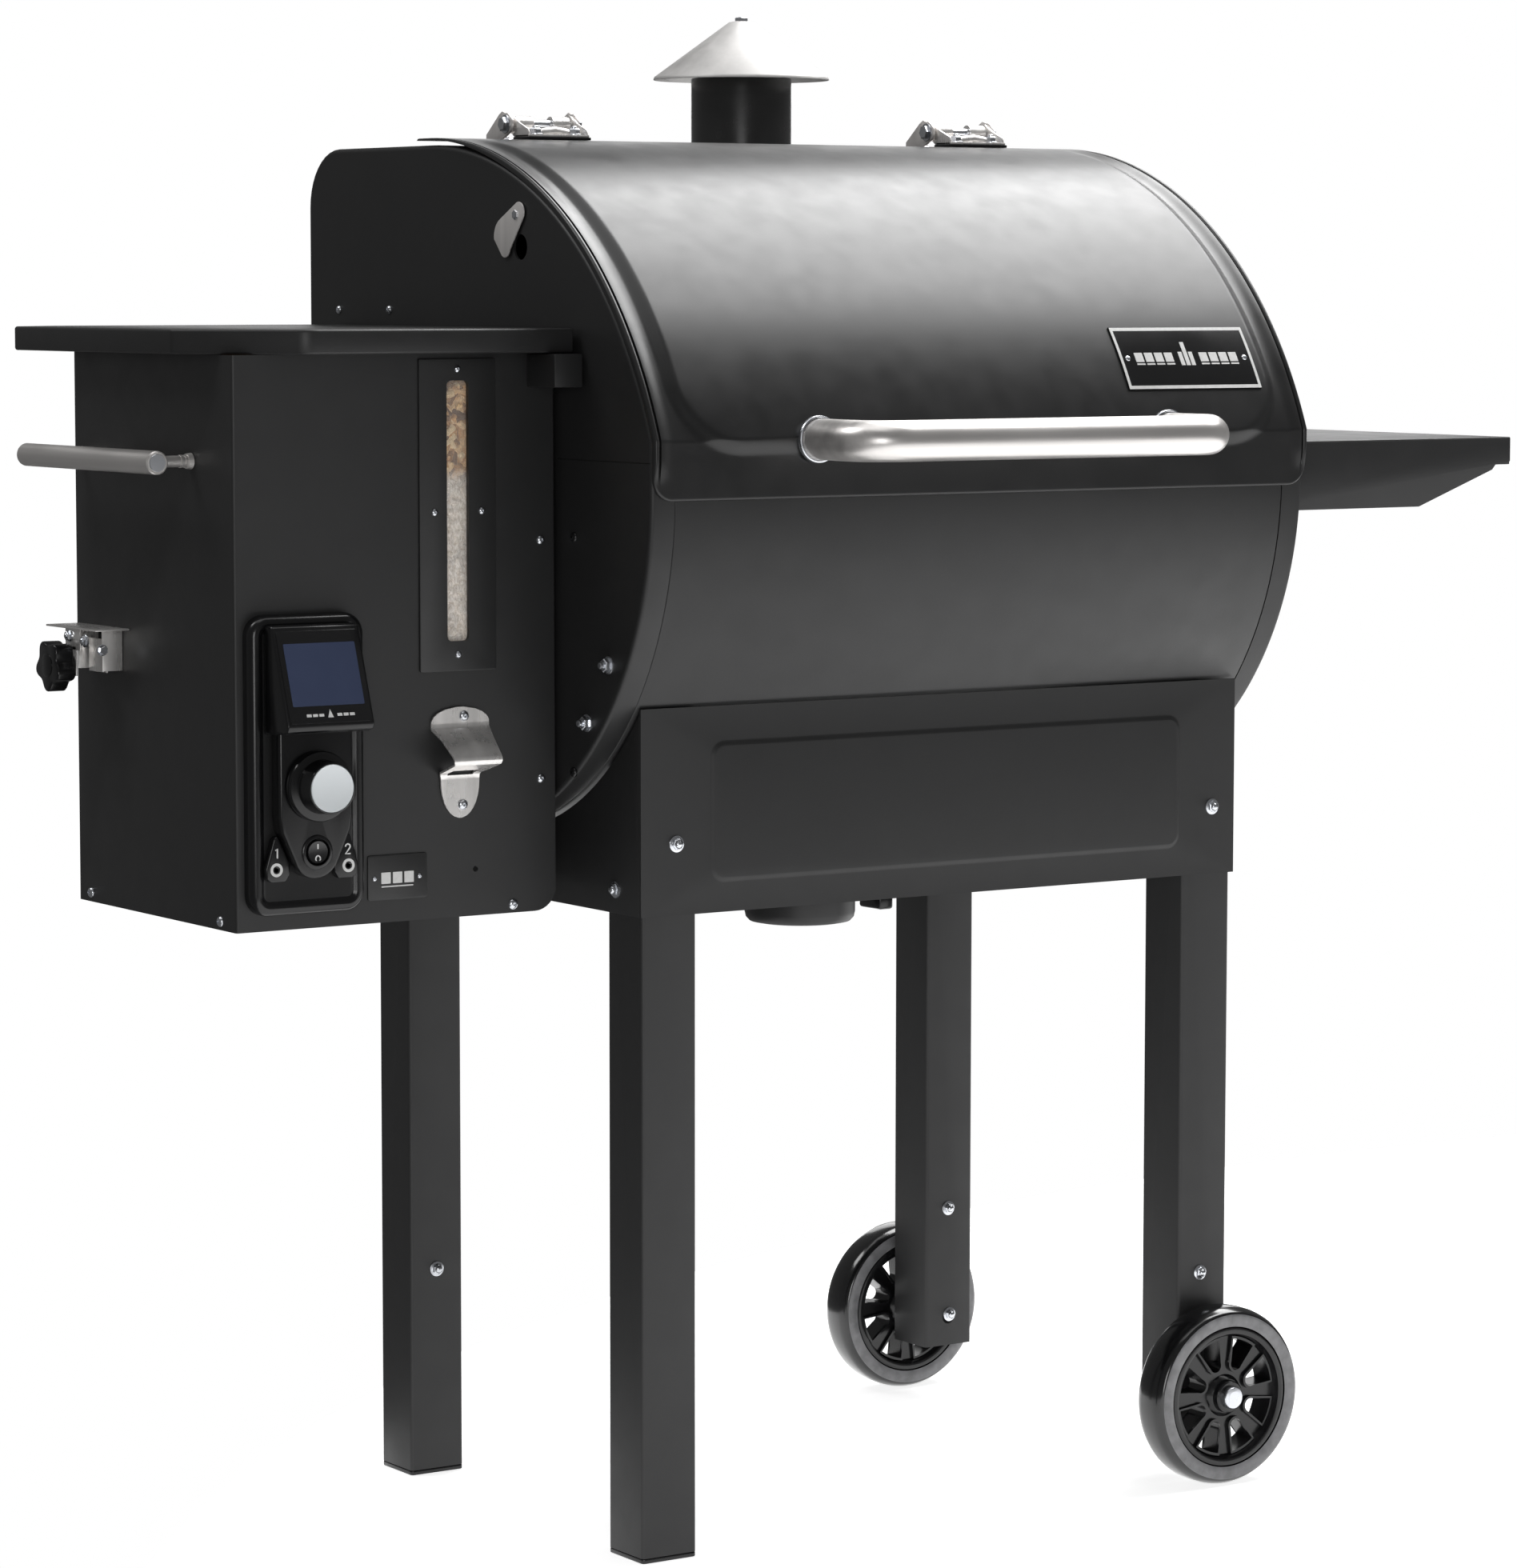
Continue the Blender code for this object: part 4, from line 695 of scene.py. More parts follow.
def lid_hem(e):
    """Height of the rolled hem, its groove and the shoulder behind it, e metres in from the lid's side."""
    if e < 0.0050:
        return -BORDER - 0.0025 + math.sqrt(max(0.0, 0.0025 ** 2 - (0.0025 - e) ** 2))
    if e < 0.0064:
        return -0.0005
    return 0.0022 * (1.0 - smoothstep((e - 0.0066) / 0.012))


def build_lid():
    total = lid_length()
    corner = 0.019
    rows = [0.0, 0.0004, 0.0010, 0.0018, 0.0028, 0.004, 0.006, 0.008, 0.0105, 0.013, 0.016, 0.019, 0.024,
            0.029, 0.033]
    s = 0.0345
    while s < 0.050:
        rows.append(s)
        s += 0.0013
    while s < 0.125:
        rows.append(s)
        s += 0.0030
    while s < total - 0.008:
        rows.append(s)
        s += 0.0078
    rows += [total - 0.0018, total - 0.0008, total]
    edge = [0.0, 0.0003, 0.0008, 0.0015, 0.0022, 0.0030, 0.0037, 0.0043, 0.0047, 0.0050, 0.0051, 0.0063,
            0.0064, 0.0066,
            0.0080, 0.0100, 0.0120, 0.0145, 0.0170]
    step = 0.0190
    while step < 0.037:
        edge.append(step)
        step += 0.0014
    while step < 0.100:
        edge.append(step)
        step += 0.0032
    while step < LID_X - 0.006:
        edge.append(step)
        step += 0.014
    xs = [-LID_X + e for e in edge] + [0.0] + [LID_X - e for e in reversed(edge)]
    roll = 0.0018
    outer, inner = [], []
    for s in rows:
        half = LID_X
        if s < corner:
            half = LID_X - corner + math.sqrt(max(0.0, corner ** 2 - (corner - s) ** 2))
        line, under = [], []
        for x in xs:
            px = x / LID_X * half if s < corner else x
            near = min(half - abs(px), s, total - s)
            if s < corner and abs(px) > LID_X - corner:
                near = min(near, corner - math.hypot(abs(px) - (LID_X - corner), corner - s))
            near = max(near, 0.0)
            drop = roll - math.sqrt(max(0.0, roll ** 2 - (roll - near) ** 2)) if near < roll else 0.0
            lift = lid_lift(px, s)
            hem = (lid_hem(LID_X - abs(x)) * smoothstep((s - 0.012) / 0.020)
                   * (1.0 - smoothstep((s - 0.36) / 0.13)))
            y, z, _, _ = lid_point(s, lift + hem - drop)
            line.append((px, y, z))
            y, z, _, _ = lid_point(s, lift + min(hem, 0.0) - SHEET)
            under.append((px, y, z))
        outer.append(line)
        inner.append(under)
    lid = skin(outer, inner)
    piece("lid_pressed", lid, "lid", "lid", "grill_lid", smooth=60, weld=0)

    bend, foot = 0.030, LID_FRONT_Y - EMBOSS + 0.0006
    hx, hy, hz, hr = 0.176, -0.357, 0.911, 0.0165
    path = [Vector((-hx, foot, hz)), Vector((-hx, foot - 0.02, hz))]
    for cx, start in ((-hx + bend, math.pi), (hx - bend, 1.5 * math.pi)):
        path += [Vector((x, y, hz)) for x, y in arc(cx, hy + bend, bend, start, start + math.pi / 2, 14)]
    path += [Vector((hx, foot - 0.02, hz)), Vector((hx, foot, hz))]
    piece("lid_handle_tube", sweep(path, hr, 48), "bar", "lid", "lid_handle")
    collars = []
    for side in (-1, 1):
        ring = [(0.0150, 0.0), (0.0186, 0.0), (0.0191, 0.0008), (0.0191, 0.0030), (0.0186, 0.0040),
                (0.0178, 0.0044),
                (0.0170, 0.0038), (0.0166, 0.0030), (0.0150, 0.0030)]
        collars.append(lathe(ring, (side * hx, foot + 0.0002, hz), "Y", 48))
    piece("lid_handle_collars", together(*collars), "zinc", "lid")


def lid_patch(x0, x1, z0, z1, low, high, nx=2, nz=6, shear=0.0):
    """A thin plate that follows the lid's curve; low and high are its faces' heights above the lid."""
    outer, inner = [], []
    for i in range(nz + 1):
        z = z0 + (z1 - z0) * i / nz
        angle = math.pi - math.asin((z - UP_Z) / LID_R)
        ny, nz_ = math.cos(angle), math.sin(angle)
        for grid, lift in ((outer, high), (inner, low)):
            r = LID_R + EMBOSS + lift
            slant = shear * (z - z0)
            grid.append([(x0 + slant + (x1 - x0) * j / nx, UP_Y + r * ny, UP_Z + r * nz_)
                         for j in range(nx + 1)])
    return skin(outer, inner)


def build_nameplate():
    x0, x1, z0, z1 = 0.147, 0.288, 0.9455, 0.9965
    plate = lid_patch(x0, x1, z0, z1, 0.0001, 0.0011, 8, 10)
    piece("nameplate_black", plate, "gloss", "lid", "nameplate")
    t, low, high = 0.0026, 0.0010, 0.0014
    ring = [lid_patch(x0 + 0.0004, x1 - 0.0004, z0 + 0.0004, z0 + 0.0004 + t, low, high, 8, 1),
            lid_patch(x0 + 0.0004, x1 - 0.0004, z1 - 0.0004 - t, z1 - 0.0004, low, high, 8, 1),
            lid_patch(x0 + 0.0004, x0 + 0.0004 + t, z0 + 0.0004 + t, z1 - 0.0004 - t, low, high, 1, 8),
            lid_patch(x1 - 0.0004 - t, x1 - 0.0004, z0 + 0.0004 + t, z1 - 0.0004 - t, low, high, 1, 8)]
    zc = (z0 + z1) / 2
    middle = (x0 + x1) / 2
    for side in (-1, 1):
        for k in range(4):
            cx = middle + side * (0.0185 + 0.0105 * k)
            ring.append(lid_patch(cx - 0.0042, cx + 0.0042, zc - 0.0030, zc + 0.0044, low, high, 1, 2))
            ring.append(lid_patch(cx - 0.0042, cx + 0.0042, zc - 0.0054, zc - 0.0042, low, high, 1, 1))
    for k in range(3):
        ring.append(lid_patch(middle - 0.0075 + 0.0055 * k, middle - 0.0035 + 0.0055 * k,
                              zc - 0.0060, zc + 0.0050 + 0.0080 * (k % 2), low, high, 1, 2))
    piece("nameplate_print", together(*ring), "white", "lid")
    rivets = []
    for cx in (x0 + 0.0085, x1 - 0.0085):
        angle = math.pi - math.asin((zc - UP_Z) / LID_R)
        r = LID_R + EMBOSS + 0.0010
        rivets.append(pan_screw((cx, UP_Y + r * math.cos(angle), UP_Z + r * math.sin(angle)),
                                (0, math.cos(angle), math.sin(angle)), 0.0026))
    piece("nameplate_rivets", together(*rivets), "zinc", "lid")


def build_hinges():
    base = UP_Z + UP_R + 0.0003
    lid_z = UP_Z + LID_R + 0.0003
    half = 0.034
    for cx, tag in ((-0.206, "left"), (0.230, "right")):
        ear = [(0.1035, base), (0.1280, base), (0.1275, base + 0.011), (0.1060, 1.1765), (0.1010, 1.1790)]
        ear += arc(HINGE_Y, HINGE_Z, 0.0095, math.radians(80), math.radians(215), 8)
        ear += [(0.0960, 1.1575), (0.1030, 1.1550)]
        parts = [box((cx - half, 0.104, base), (cx + half, 0.128, base + 0.0024), 0.0006)]
        for end in (-1, 1):
            x0, x1 = sorted((cx + end * half, cx + end * (half - 0.0026)))
            parts.append(prism(ear, x0, x1, "X", 0.0005))
        piece("hinge_bracket_folded_" + tag, together(*parts), "flap", node="hinge_bracket_" + tag)
        bolts = [lathe(rod(0.0041, 2 * half + 0.004),
                       (cx - half - 0.002, HINGE_Y, HINGE_Z), "X", 24)]
        for end in (-1, 1):
            bolts.append(hex_bolt((cx + end * half, HINGE_Y, HINGE_Z), (end, 0, 0), 0.0062, 0.0036))
            bolts.append(hex_bolt((cx + end * (half - 0.013), 0.1165, base + 0.0024), (0, 0, 1), 0.0055,
                                  0.0042, True, 0.002))
        piece("hinge_bolts_" + tag, together(*bolts), "zinc")

        reach = half - 0.0042
        # A thin black gasket pad under the leaf, which also paints in the dark shadow gap beneath it.
        pad = box((cx - reach - 0.001, 0.0625, lid_z - 0.0002),
                  (cx + reach + 0.001, 0.0880, lid_z + 0.0022), 0.0004)
        piece("hinge_gasket_shadow_pad_" + tag, pad, "plastic", "lid")
        top = lid_z + 0.0022
        leaf = [box((cx - reach, 0.0635, top), (cx + reach, 0.0865, top + 0.0020), 0.0005)]
        wing = [(0.0640, top), (0.0880, top), (0.0925, 1.1600)]
        wing += arc(HINGE_Y, HINGE_Z, 0.0082, math.radians(-60), math.radians(135), 9)
        wing += [(0.0800, 1.1690), (0.0670, 1.1640)]
        for end in (-1, 1):
            x0, x1 = sorted((cx + end * reach, cx + end * (reach - 0.0022)))
            leaf.append(prism(wing, x0, x1, "X", 0.0005))
        saddle = sweep([Vector((cx - reach * 0.55, 0.0725, top + 0.0015)),
                        Vector((cx - reach * 0.40, 0.0725, top + 0.0040)),
                        Vector((cx, 0.0725, top + 0.0055)),
                        Vector((cx + reach * 0.40, 0.0725, top + 0.0040)),
                        Vector((cx + reach * 0.55, 0.0725, top + 0.0015))], 0.0036, 16, Vector((0, 1, 0)))
        leaf.append(saddle)
        knuckle = [(0.0044, 0), (0.0070, 0), (0.0070, 0.016), (0.0044, 0.016)]
        for start in (cx - reach + 0.004, cx + reach - 0.020):
            leaf.append(lathe(knuckle, (start, HINGE_Y, HINGE_Z), "X", 24))
        piece("hinge_leaf_folded_" + tag, together(*leaf), "plate", "lid", "hinge_leaf_" + tag)
        nuts = []
        for dx in (-0.019, 0.019):
            nuts.append(hex_bolt((cx + dx, 0.0715, top + 0.0020), (0, 0, 1), 0.0052, 0.0044, True, 0.002))
        piece("hinge_nuts_" + tag, together(*nuts), "zinc", "lid")


# ---------------------------------------------------------------- chimney and probe port

def build_chimney():
    r, t = FLUE_R, SHEET
    pipe = [(r, 0.985), (r, 1.2210), (r - 0.0004, 1.2221), (r - 0.001, 1.2225), (r - t, 1.2221),
            (r - t, 0.9816),
            (0.0, 0.9816), (0.0, 0.9796), (r - 0.004, 0.9796), (r - 0.001, 0.9808)]
    bore = lathe(rod(0.0440, 0.05), (FLUE_X, FLUE_Y - 0.02, FLUE_Z), "Y", 48)
    tube = cut(lathe(pipe, (FLUE_X, FLUE_Y, 0), "Z", 72), bore)
    piece("chimney_tube", tube, "flue", node="chimney_pipe")
    stub = [(0.0442, 0.0), (0.0462, 0.0), (0.0462, 0.0235), (0.0442, 0.0235)]
    stub_tube = lathe(stub, (FLUE_X, BACK_Y + 0.0003 + 0.0235, FLUE_Z), "Y", 64)
    piece("flue_stub_tube", stub_tube, "flue")
    hole = lathe(rod(0.0442, 0.02), (FLUE_X, BACK_Y + 0.01, FLUE_Z), "Y", 64)
    flange = prism(rounded(FLUE_X - 0.060, FLUE_X + 0.060, 0.966, 1.086, 0.008), BACK_Y + 0.0003,
                   BACK_Y + 0.0023, "Y", 0.0005)
    piece("flue_flange_plate", cut(flange, hole), "flue")
    strap = box((FLUE_X - r + t, FLUE_Y - 0.007, 1.188), (FLUE_X + r - t, FLUE_Y + 0.007, 1.1905), 0.0004)
    spindle = lathe([(0, 1.186), (0.003, 1.186), (0.003, 1.2782), (0.0025, 1.2787), (0, 1.2787)],
                    (FLUE_X, FLUE_Y, 0), "Z", 20)
    screws = [hex_bolt((FLUE_X, FLUE_Y, 1.1905), (0, 0, 1), 0.0055, 0.004)]
    for dx in (-0.052, 0.052):
        for dz in (-0.052, 0.052):
            screws.append(pan_screw((FLUE_X + dx, BACK_Y + 0.0023, FLUE_Z + dz), (0, 1, 0), 0.004))
    piece("flue_fixings", together(strap, spindle, *screws), "zinc")

    cone = [(0.0036, 1.2726), (0.0090, 1.2726), (0.0800, 1.2212), (0.0808, 1.2207), (0.0814, 1.2210),
            (0.0812, 1.2222),
            (0.0803, 1.2238), (0.0120, 1.2735), (0.0095, 1.2746), (0.0060, 1.2747), (0.0036, 1.2747)]
    piece("chimney_cap_cone", lathe(cone, (FLUE_X, FLUE_Y, 0), "Z", 96), "cap", "cap", "chimney_cap")
    nut = [(0.0036, 1.2746), (0.0066, 1.2746), (0.0066, 1.2776), (0.0058, 1.2782), (0.0036, 1.2782)]
    piece("chimney_cap_nut", lathe(nut, (FLUE_X, FLUE_Y, 0), "Z", 6), "zinc", "cap")

    py, pz = -0.0717, 1.0896
    outline = arc(py - 0.0045, pz + 0.0020, 0.0085, math.radians(70), math.radians(205), 14)
    outline += arc(py + 0.0172, pz - 0.0265, 0.0080, math.radians(195), math.radians(325), 14)
    outline += arc(py + 0.0185, pz - 0.0180, 0.0160, math.radians(-5), math.radians(65), 10)
    flap = prism(outline, -BARREL_X - 0.0023, -BARREL_X - 0.0012, "X", 0.0003)
    piece("probe_flap_plate", flap, "flap", "flap", "probe_flap")
    screw = hex_bolt((-BARREL_X - 0.0022, py, pz), (-1, 0, 0), 0.0040, 0.0016, False)
    piece("probe_flap_screw", screw, "zinc", "flap")
    spacer = lathe(rod(0.0052, 0.0012), (-BARREL_X - 0.0012, py, pz), "X", 24)
    piece("probe_flap_washer", spacer, "zinc")


# ---------------------------------------------------------------- leg frame

def build_frame():
    for name, sx, sy, low in (("leg_front_left", -1, -1, 0.0043), ("leg_rear_left", -1, 1, 0.0043),
                              ("leg_front_right", 1, -1, 0.051), ("leg_rear_right", 1, 1, 0.051)):
        x0, x1 = sorted((sx * LEG_X, sx * (LEG_X - LEG_W)))
        y0, y1 = sorted((sy * LEG_Y, sy * (LEG_Y - LEG_W)))
        tube = prism(rounded(x0, x1, y0, y1, 0.0032, 4), low, 0.690, "Z")
        hollow = prism(rounded(x0 + 0.002, x1 - 0.002, y0 + 0.002, y1 - 0.002, 0.0016, 3), low - 0.01,
                       0.70, "Z")
        saddle = prism(section(-0.003), x0 - 0.01, x1 + 0.01)
        cutters = [hollow, saddle]
        if sx > 0:
            drill = lathe(rod(0.0064, 0.08), (WHEEL_X, max(y0, y1) + 0.01, WHEEL_R), "Y", 24)
            cutters.append(drill)
        piece(name + "_tube", cut(tube, *cutters), "frame", node=name)
        if sx < 0:
            foot = "foot" + name[3:]
            cap = prism(rounded(x0, x1, y0, y1, 0.0032, 4), 0.0, 0.004, "Z", 0.0008)
            piece(foot + "_cap", cap, "plastic", node=foot)

    face, edge = LEG_Y + 0.0003, LEG_X + 0.0003 + SHEET
    front = embossed_plate(-edge, edge, APRON_LOW, 0.696, (-0.234, 0.241, 0.5546, 0.6655), 0.011,
                           -face - SHEET, -face, 0.0016)
    piece("apron_front_pressed", front, "frame", node="apron_front")
    rear = box((-edge, face, APRON_LOW), (edge, face + SHEET, 0.662), 0.0006)
    piece("apron_rear_folded", rear, "frame", node="apron_rear")
    curve = []
    for k in range(41):
        y = LEG_Y - 2 * LEG_Y * k / 40
        curve.append((y, min(0.692, LOW_Z - math.sqrt((LOW_R + 0.003) ** 2 - (y - LOW_Y) ** 2))))
    outline = [(-LEG_Y, APRON_LOW), (LEG_Y, APRON_LOW)] + curve
    for name, sx in (("apron_left", -1), ("apron_right", 1)):
        x0, x1 = sorted((sx * (LEG_X + 0.0003), sx * edge))
        piece(name + "_cut", prism(outline, x0, x1, "X", 0.0005), "frame", node=name)

    bolts = []
    for x, z in ((-0.2688, 0.5864), (0.278, 0.5865)):
        bolts.append(dome_bolt((x, -face - SHEET, z), (0, -1, 0), 0.0062))
        bolts.append(dome_bolt((x, face + SHEET, z), (0, 1, 0), 0.0062))
    for side in (-1, 1):
        for y in (-0.1788, 0.1788):
            bolts.append(dome_bolt((side * edge, y, 0.548), (side, 0, 0), 0.0062))
    for x, y, z in ((0.2713, -LEG_Y, 0.1804), (0.2728, LEG_Y - LEG_W, 0.180),
                    (-0.2741, LEG_Y - LEG_W, 0.1804),
                    (0.2745, LEG_Y - LEG_W, 0.080)):
        bolts.append(dome_bolt((x, y, z), (0, -1, 0), 0.0060))
    bolts.append(dome_bolt((0.2745, -LEG_Y + LEG_W, 0.080), (0, 1, 0), 0.0060))
    piece("frame_bolts", together(*bolts), "zinc")


def dome_bolt(pos, normal, r):
    """A washer under a domed nut, as on the leg frame."""
    washer = turned([(0, -0.0005), (r * 1.1, -0.0005), (r * 1.1, 0.0010), (r * 1.02, 0.0013), (0, 0.0013)],
                    pos, normal, 28)
    nut = turned([(0, 0.0013), (r * 0.80, 0.0013), (r * 0.80, 0.0032), (r * 0.62, 0.0040), (0, 0.0040)],
                 pos, normal, 6,
                 random.uniform(0, 1))
    top = [(0, 0.0035)] + [(r * 0.56 * math.cos(a), 0.0040 + r * 0.40 * math.sin(a))
                           for a in (0, 0.4, 0.8, 1.2)]
    top.append((0, 0.0040 + r * 0.42))
    return together(washer, nut, turned(top, pos, normal, 20))


def embossed_plate(x0, x1, z0, z1, frame_box, radius, y_front, y_back, lift):
    """A flat plate in the XZ plane whose framed middle is pressed forwards with a soft step."""
    steps, width = 10, 0.0050
    fx0, fx1, fz0, fz1 = frame_box
    profile = [(-0.5, 0.0), (-0.36, 0.05), (-0.18, 0.24), (0.0, 0.5), (0.18, 0.76), (0.36, 0.95), (0.5, 1.0)]
    loops = []
    for at, up in profile:
        grow = -at * width
        loops.append([(x, y_front - lift * up, z)
                      for x, z in rounded(fx0 - grow, fx1 + grow, fz0 - grow, fz1 + grow, radius + grow,
                                          steps)])
    count = len(loops[0])
    corners = [(x1, z1), (x0, z1), (x0, z0), (x1, z0)]
    border = []
    for cx, cz in corners:
        border += [(cx, cz)] * (steps + 1)
    bm = bmesh.new()
    made = [[bm.verts.new(p) for p in loop] for loop in loops]
    for first, second in zip(made, made[1:]):
        for k in range(count):
            bm.faces.new((first[k], first[(k + 1) % count], second[(k + 1) % count], second[k]))
    bm.faces.new(made[-1])
    rim = {}
    for cx, cz in corners:
        for y in (y_front, y_back):
            rim[(cx, cz, y)] = bm.verts.new((cx, y, cz))
    for k in range(count):
        a, b = border[k], border[(k + 1) % count]
        ring = [made[0][k], made[0][(k + 1) % count], rim[(*b, y_front)]]
        if a != b:
            ring.append(rim[(*a, y_front)])
        bm.faces.new(ring)
    for k in range(4):
        a, b = corners[k], corners[(k + 1) % 4]
        bm.faces.new((rim[(*a, y_front)], rim[(*b, y_front)], rim[(*b, y_back)], rim[(*a, y_back)]))
    bm.faces.new([rim[(*c, y_back)] for c in corners])
    bmesh.ops.recalc_face_normals(bm, faces=bm.faces[:])
    return bm


# ---------------------------------------------------------------- hopper

def window_slot(y):
    return prism(rounded(-0.4315, -0.4115, 0.7505, 0.9576, 0.004, 4), y - 0.01, y + 0.01, "Y")


def build_hopper():
    outline = rounded(HOP_L, HOP_R, HOP_LOW, HOP_TOP, (0, 0, 0, 0.020), 8)
    body = prism(outline, HOP_F, HOP_B, "Y")
    upright = [e for e in body.edges if abs(e.verts[0].co.z - e.verts[1].co.z) > 0.3]
    bmesh.ops.bevel(body, geom=upright, offset=0.0024, offset_type="OFFSET", segments=4, profile=0.5,
                    affect="EDGES")
    hollow = box((HOP_L + SHEET, HOP_F + SHEET, HOP_LOW - 0.01),
                 (HOP_R - SHEET, HOP_B - SHEET, HOP_TOP + 0.01))
    slot = window_slot(HOP_F)
    mouth = box((HOP_L - 0.01, 0.064, 0.734), (HOP_L + 0.01, 0.102, 0.752))
    tube = lathe(rod(0.0258, 0.02), (HOP_R - 0.01, 0, AUGER_Z), "X", 40)
    small = lathe(rod(0.0024, 0.02), (-0.4057, HOP_F + 0.01, 0.5667), "Y", 20)
    piece("hopper_folded", cut(body, hollow, slot, mouth, tube, small), "powder", node="hopper_body")

    lid = prism(hopper_lid_outline(0.0), 0.9793, 0.9988, "Z", 0.0022, 3)
    lid = cut(lid, prism(hopper_lid_outline(SHEET), 0.96, 0.9968, "Z"))
    piece("hopper_lid_folded", lid, "powder", "hopper_cover", "hopper_lid")
    # The bracket takes the darker end-panel black: painted shade under the hopper lid.
    bracket = box((-0.3565, -0.1755, 0.952), (-0.3303, WALL, 0.9785), 0.0012)
    piece("hopper_bracket_block", bracket, "panel", node="hopper_bracket")

    hinge = [lathe(rod(0.0042, 0.24), (-0.610, 0.152, 0.972), "X", 20),
             box((-0.605, HOP_B + 0.0003, 0.945), (-0.375, HOP_B + 0.0021, 0.9725), 0.0005),
             box((-0.605, HOP_B + 0.0003, 0.9705), (-0.375, 0.152, 0.9735), 0.0004)]
    for k in range(5):
        hinge.append(pan_screw((-0.585 + 0.0475 * k, HOP_B + 0.0021, 0.957), (0, 1, 0), 0.0035))
    piece("hopper_hinge_strip", together(*hinge), "zinc", node="hopper_hinge")

    plate = prism(rounded(-0.4565, -0.3865, 0.7266, 0.975, 0.0015, 3), WALL - 0.0015, WALL, "Y", 0.0004)
    slot = window_slot(WALL)
    piece("window_frame_plate", cut(plate, slot), "powder", node="window_plate")
    pane = prism(rounded(-0.4395, -0.4035, 0.7425, 0.9656, 0.003, 4), HOP_F + 0.0023, HOP_F + 0.0035, "Y",
                 0.0002)
    piece("window_pane_clear", pane, "glass", node="window_pane")

    screws = [pan_screw((x, WALL - 0.0015, z), (0, -1, 0), 0.0030)
              for x, z in ((-0.4215, 0.9668), (-0.4428, 0.8534), (-0.3996, 0.8538), (-0.4217, 0.7398))]
    screws += [pan_screw((x, HOP_F, z), (0, -1, 0), r) for x, z, r in
               ((-0.344, 0.829, 0.0038), (-0.3442, 0.6364, 0.0038), (-0.3709, 0.5359, 0.0046))]
    screws += [pan_screw((HOP_L, y, z), (-1, 0, 0), 0.0044)
               for y, z in ((0.1221, 0.5364), (-0.1051, 0.5358))]
    screws += [pan_screw((x, HOP_B, z), (0, 1, 0), 0.0042) for x in (-0.600, -0.352) for z in (0.545, 0.75)]
    piece("hopper_screws", together(*screws), "zinc")

    badge = prism(rounded(-0.505, -0.451, 0.547, 0.583, 0.002, 3), WALL - 0.0009, WALL, "Y", 0.0003)
    piece("badge_plate", badge, "powder")
    marks = [flat_box(-0.4930 + 0.0105 * k, -0.4845 + 0.0105 * k, 0.5600, 0.5690, WALL - 0.0009)
             for k in range(3)]
    marks += [flat_box(-0.4930, -0.4640, 0.5572, 0.5582, WALL - 0.0009)]
    piece("badge_print", together(*marks), "white")
    rivets = [pan_screw((x, WALL - 0.0009, 0.5645), (0, -1, 0), 0.0021) for x in (-0.4990, -0.4580)]
    piece("badge_rivets", together(*rivets), "zinc")


def flat_box(x0, x1, z0, z1, y):
    """A thin printed bar on a plate facing the front."""
    return prism(rounded(x0, x1, z0, z1, 0.0004, 2), y - 0.0003, y + 0.0001, "Y")


def hopper_lid_outline(inset):
    left, right = -0.650 + inset, -0.332 - inset
    front, back = -0.165 + inset, 0.232 - inset
    cut_in = inset * 0.42
    start, corner = Vector((left, front + 0.080 + cut_in)), Vector((left + 0.078 + cut_in, front))
    into, away = corner + (start - corner).normalized() * 0.009, corner + Vector((0.009, 0.0))
    bend = [into.lerp(corner, t).lerp(corner.lerp(away, t), t) for t in (0.0, 0.2, 0.4, 0.6, 0.8, 1.0)]
    return [(right, front), (right, back), (left + 0.052 + cut_in, back), (left, back - 0.037 - cut_in),
            tuple(start)] + [tuple(p) for p in bend]


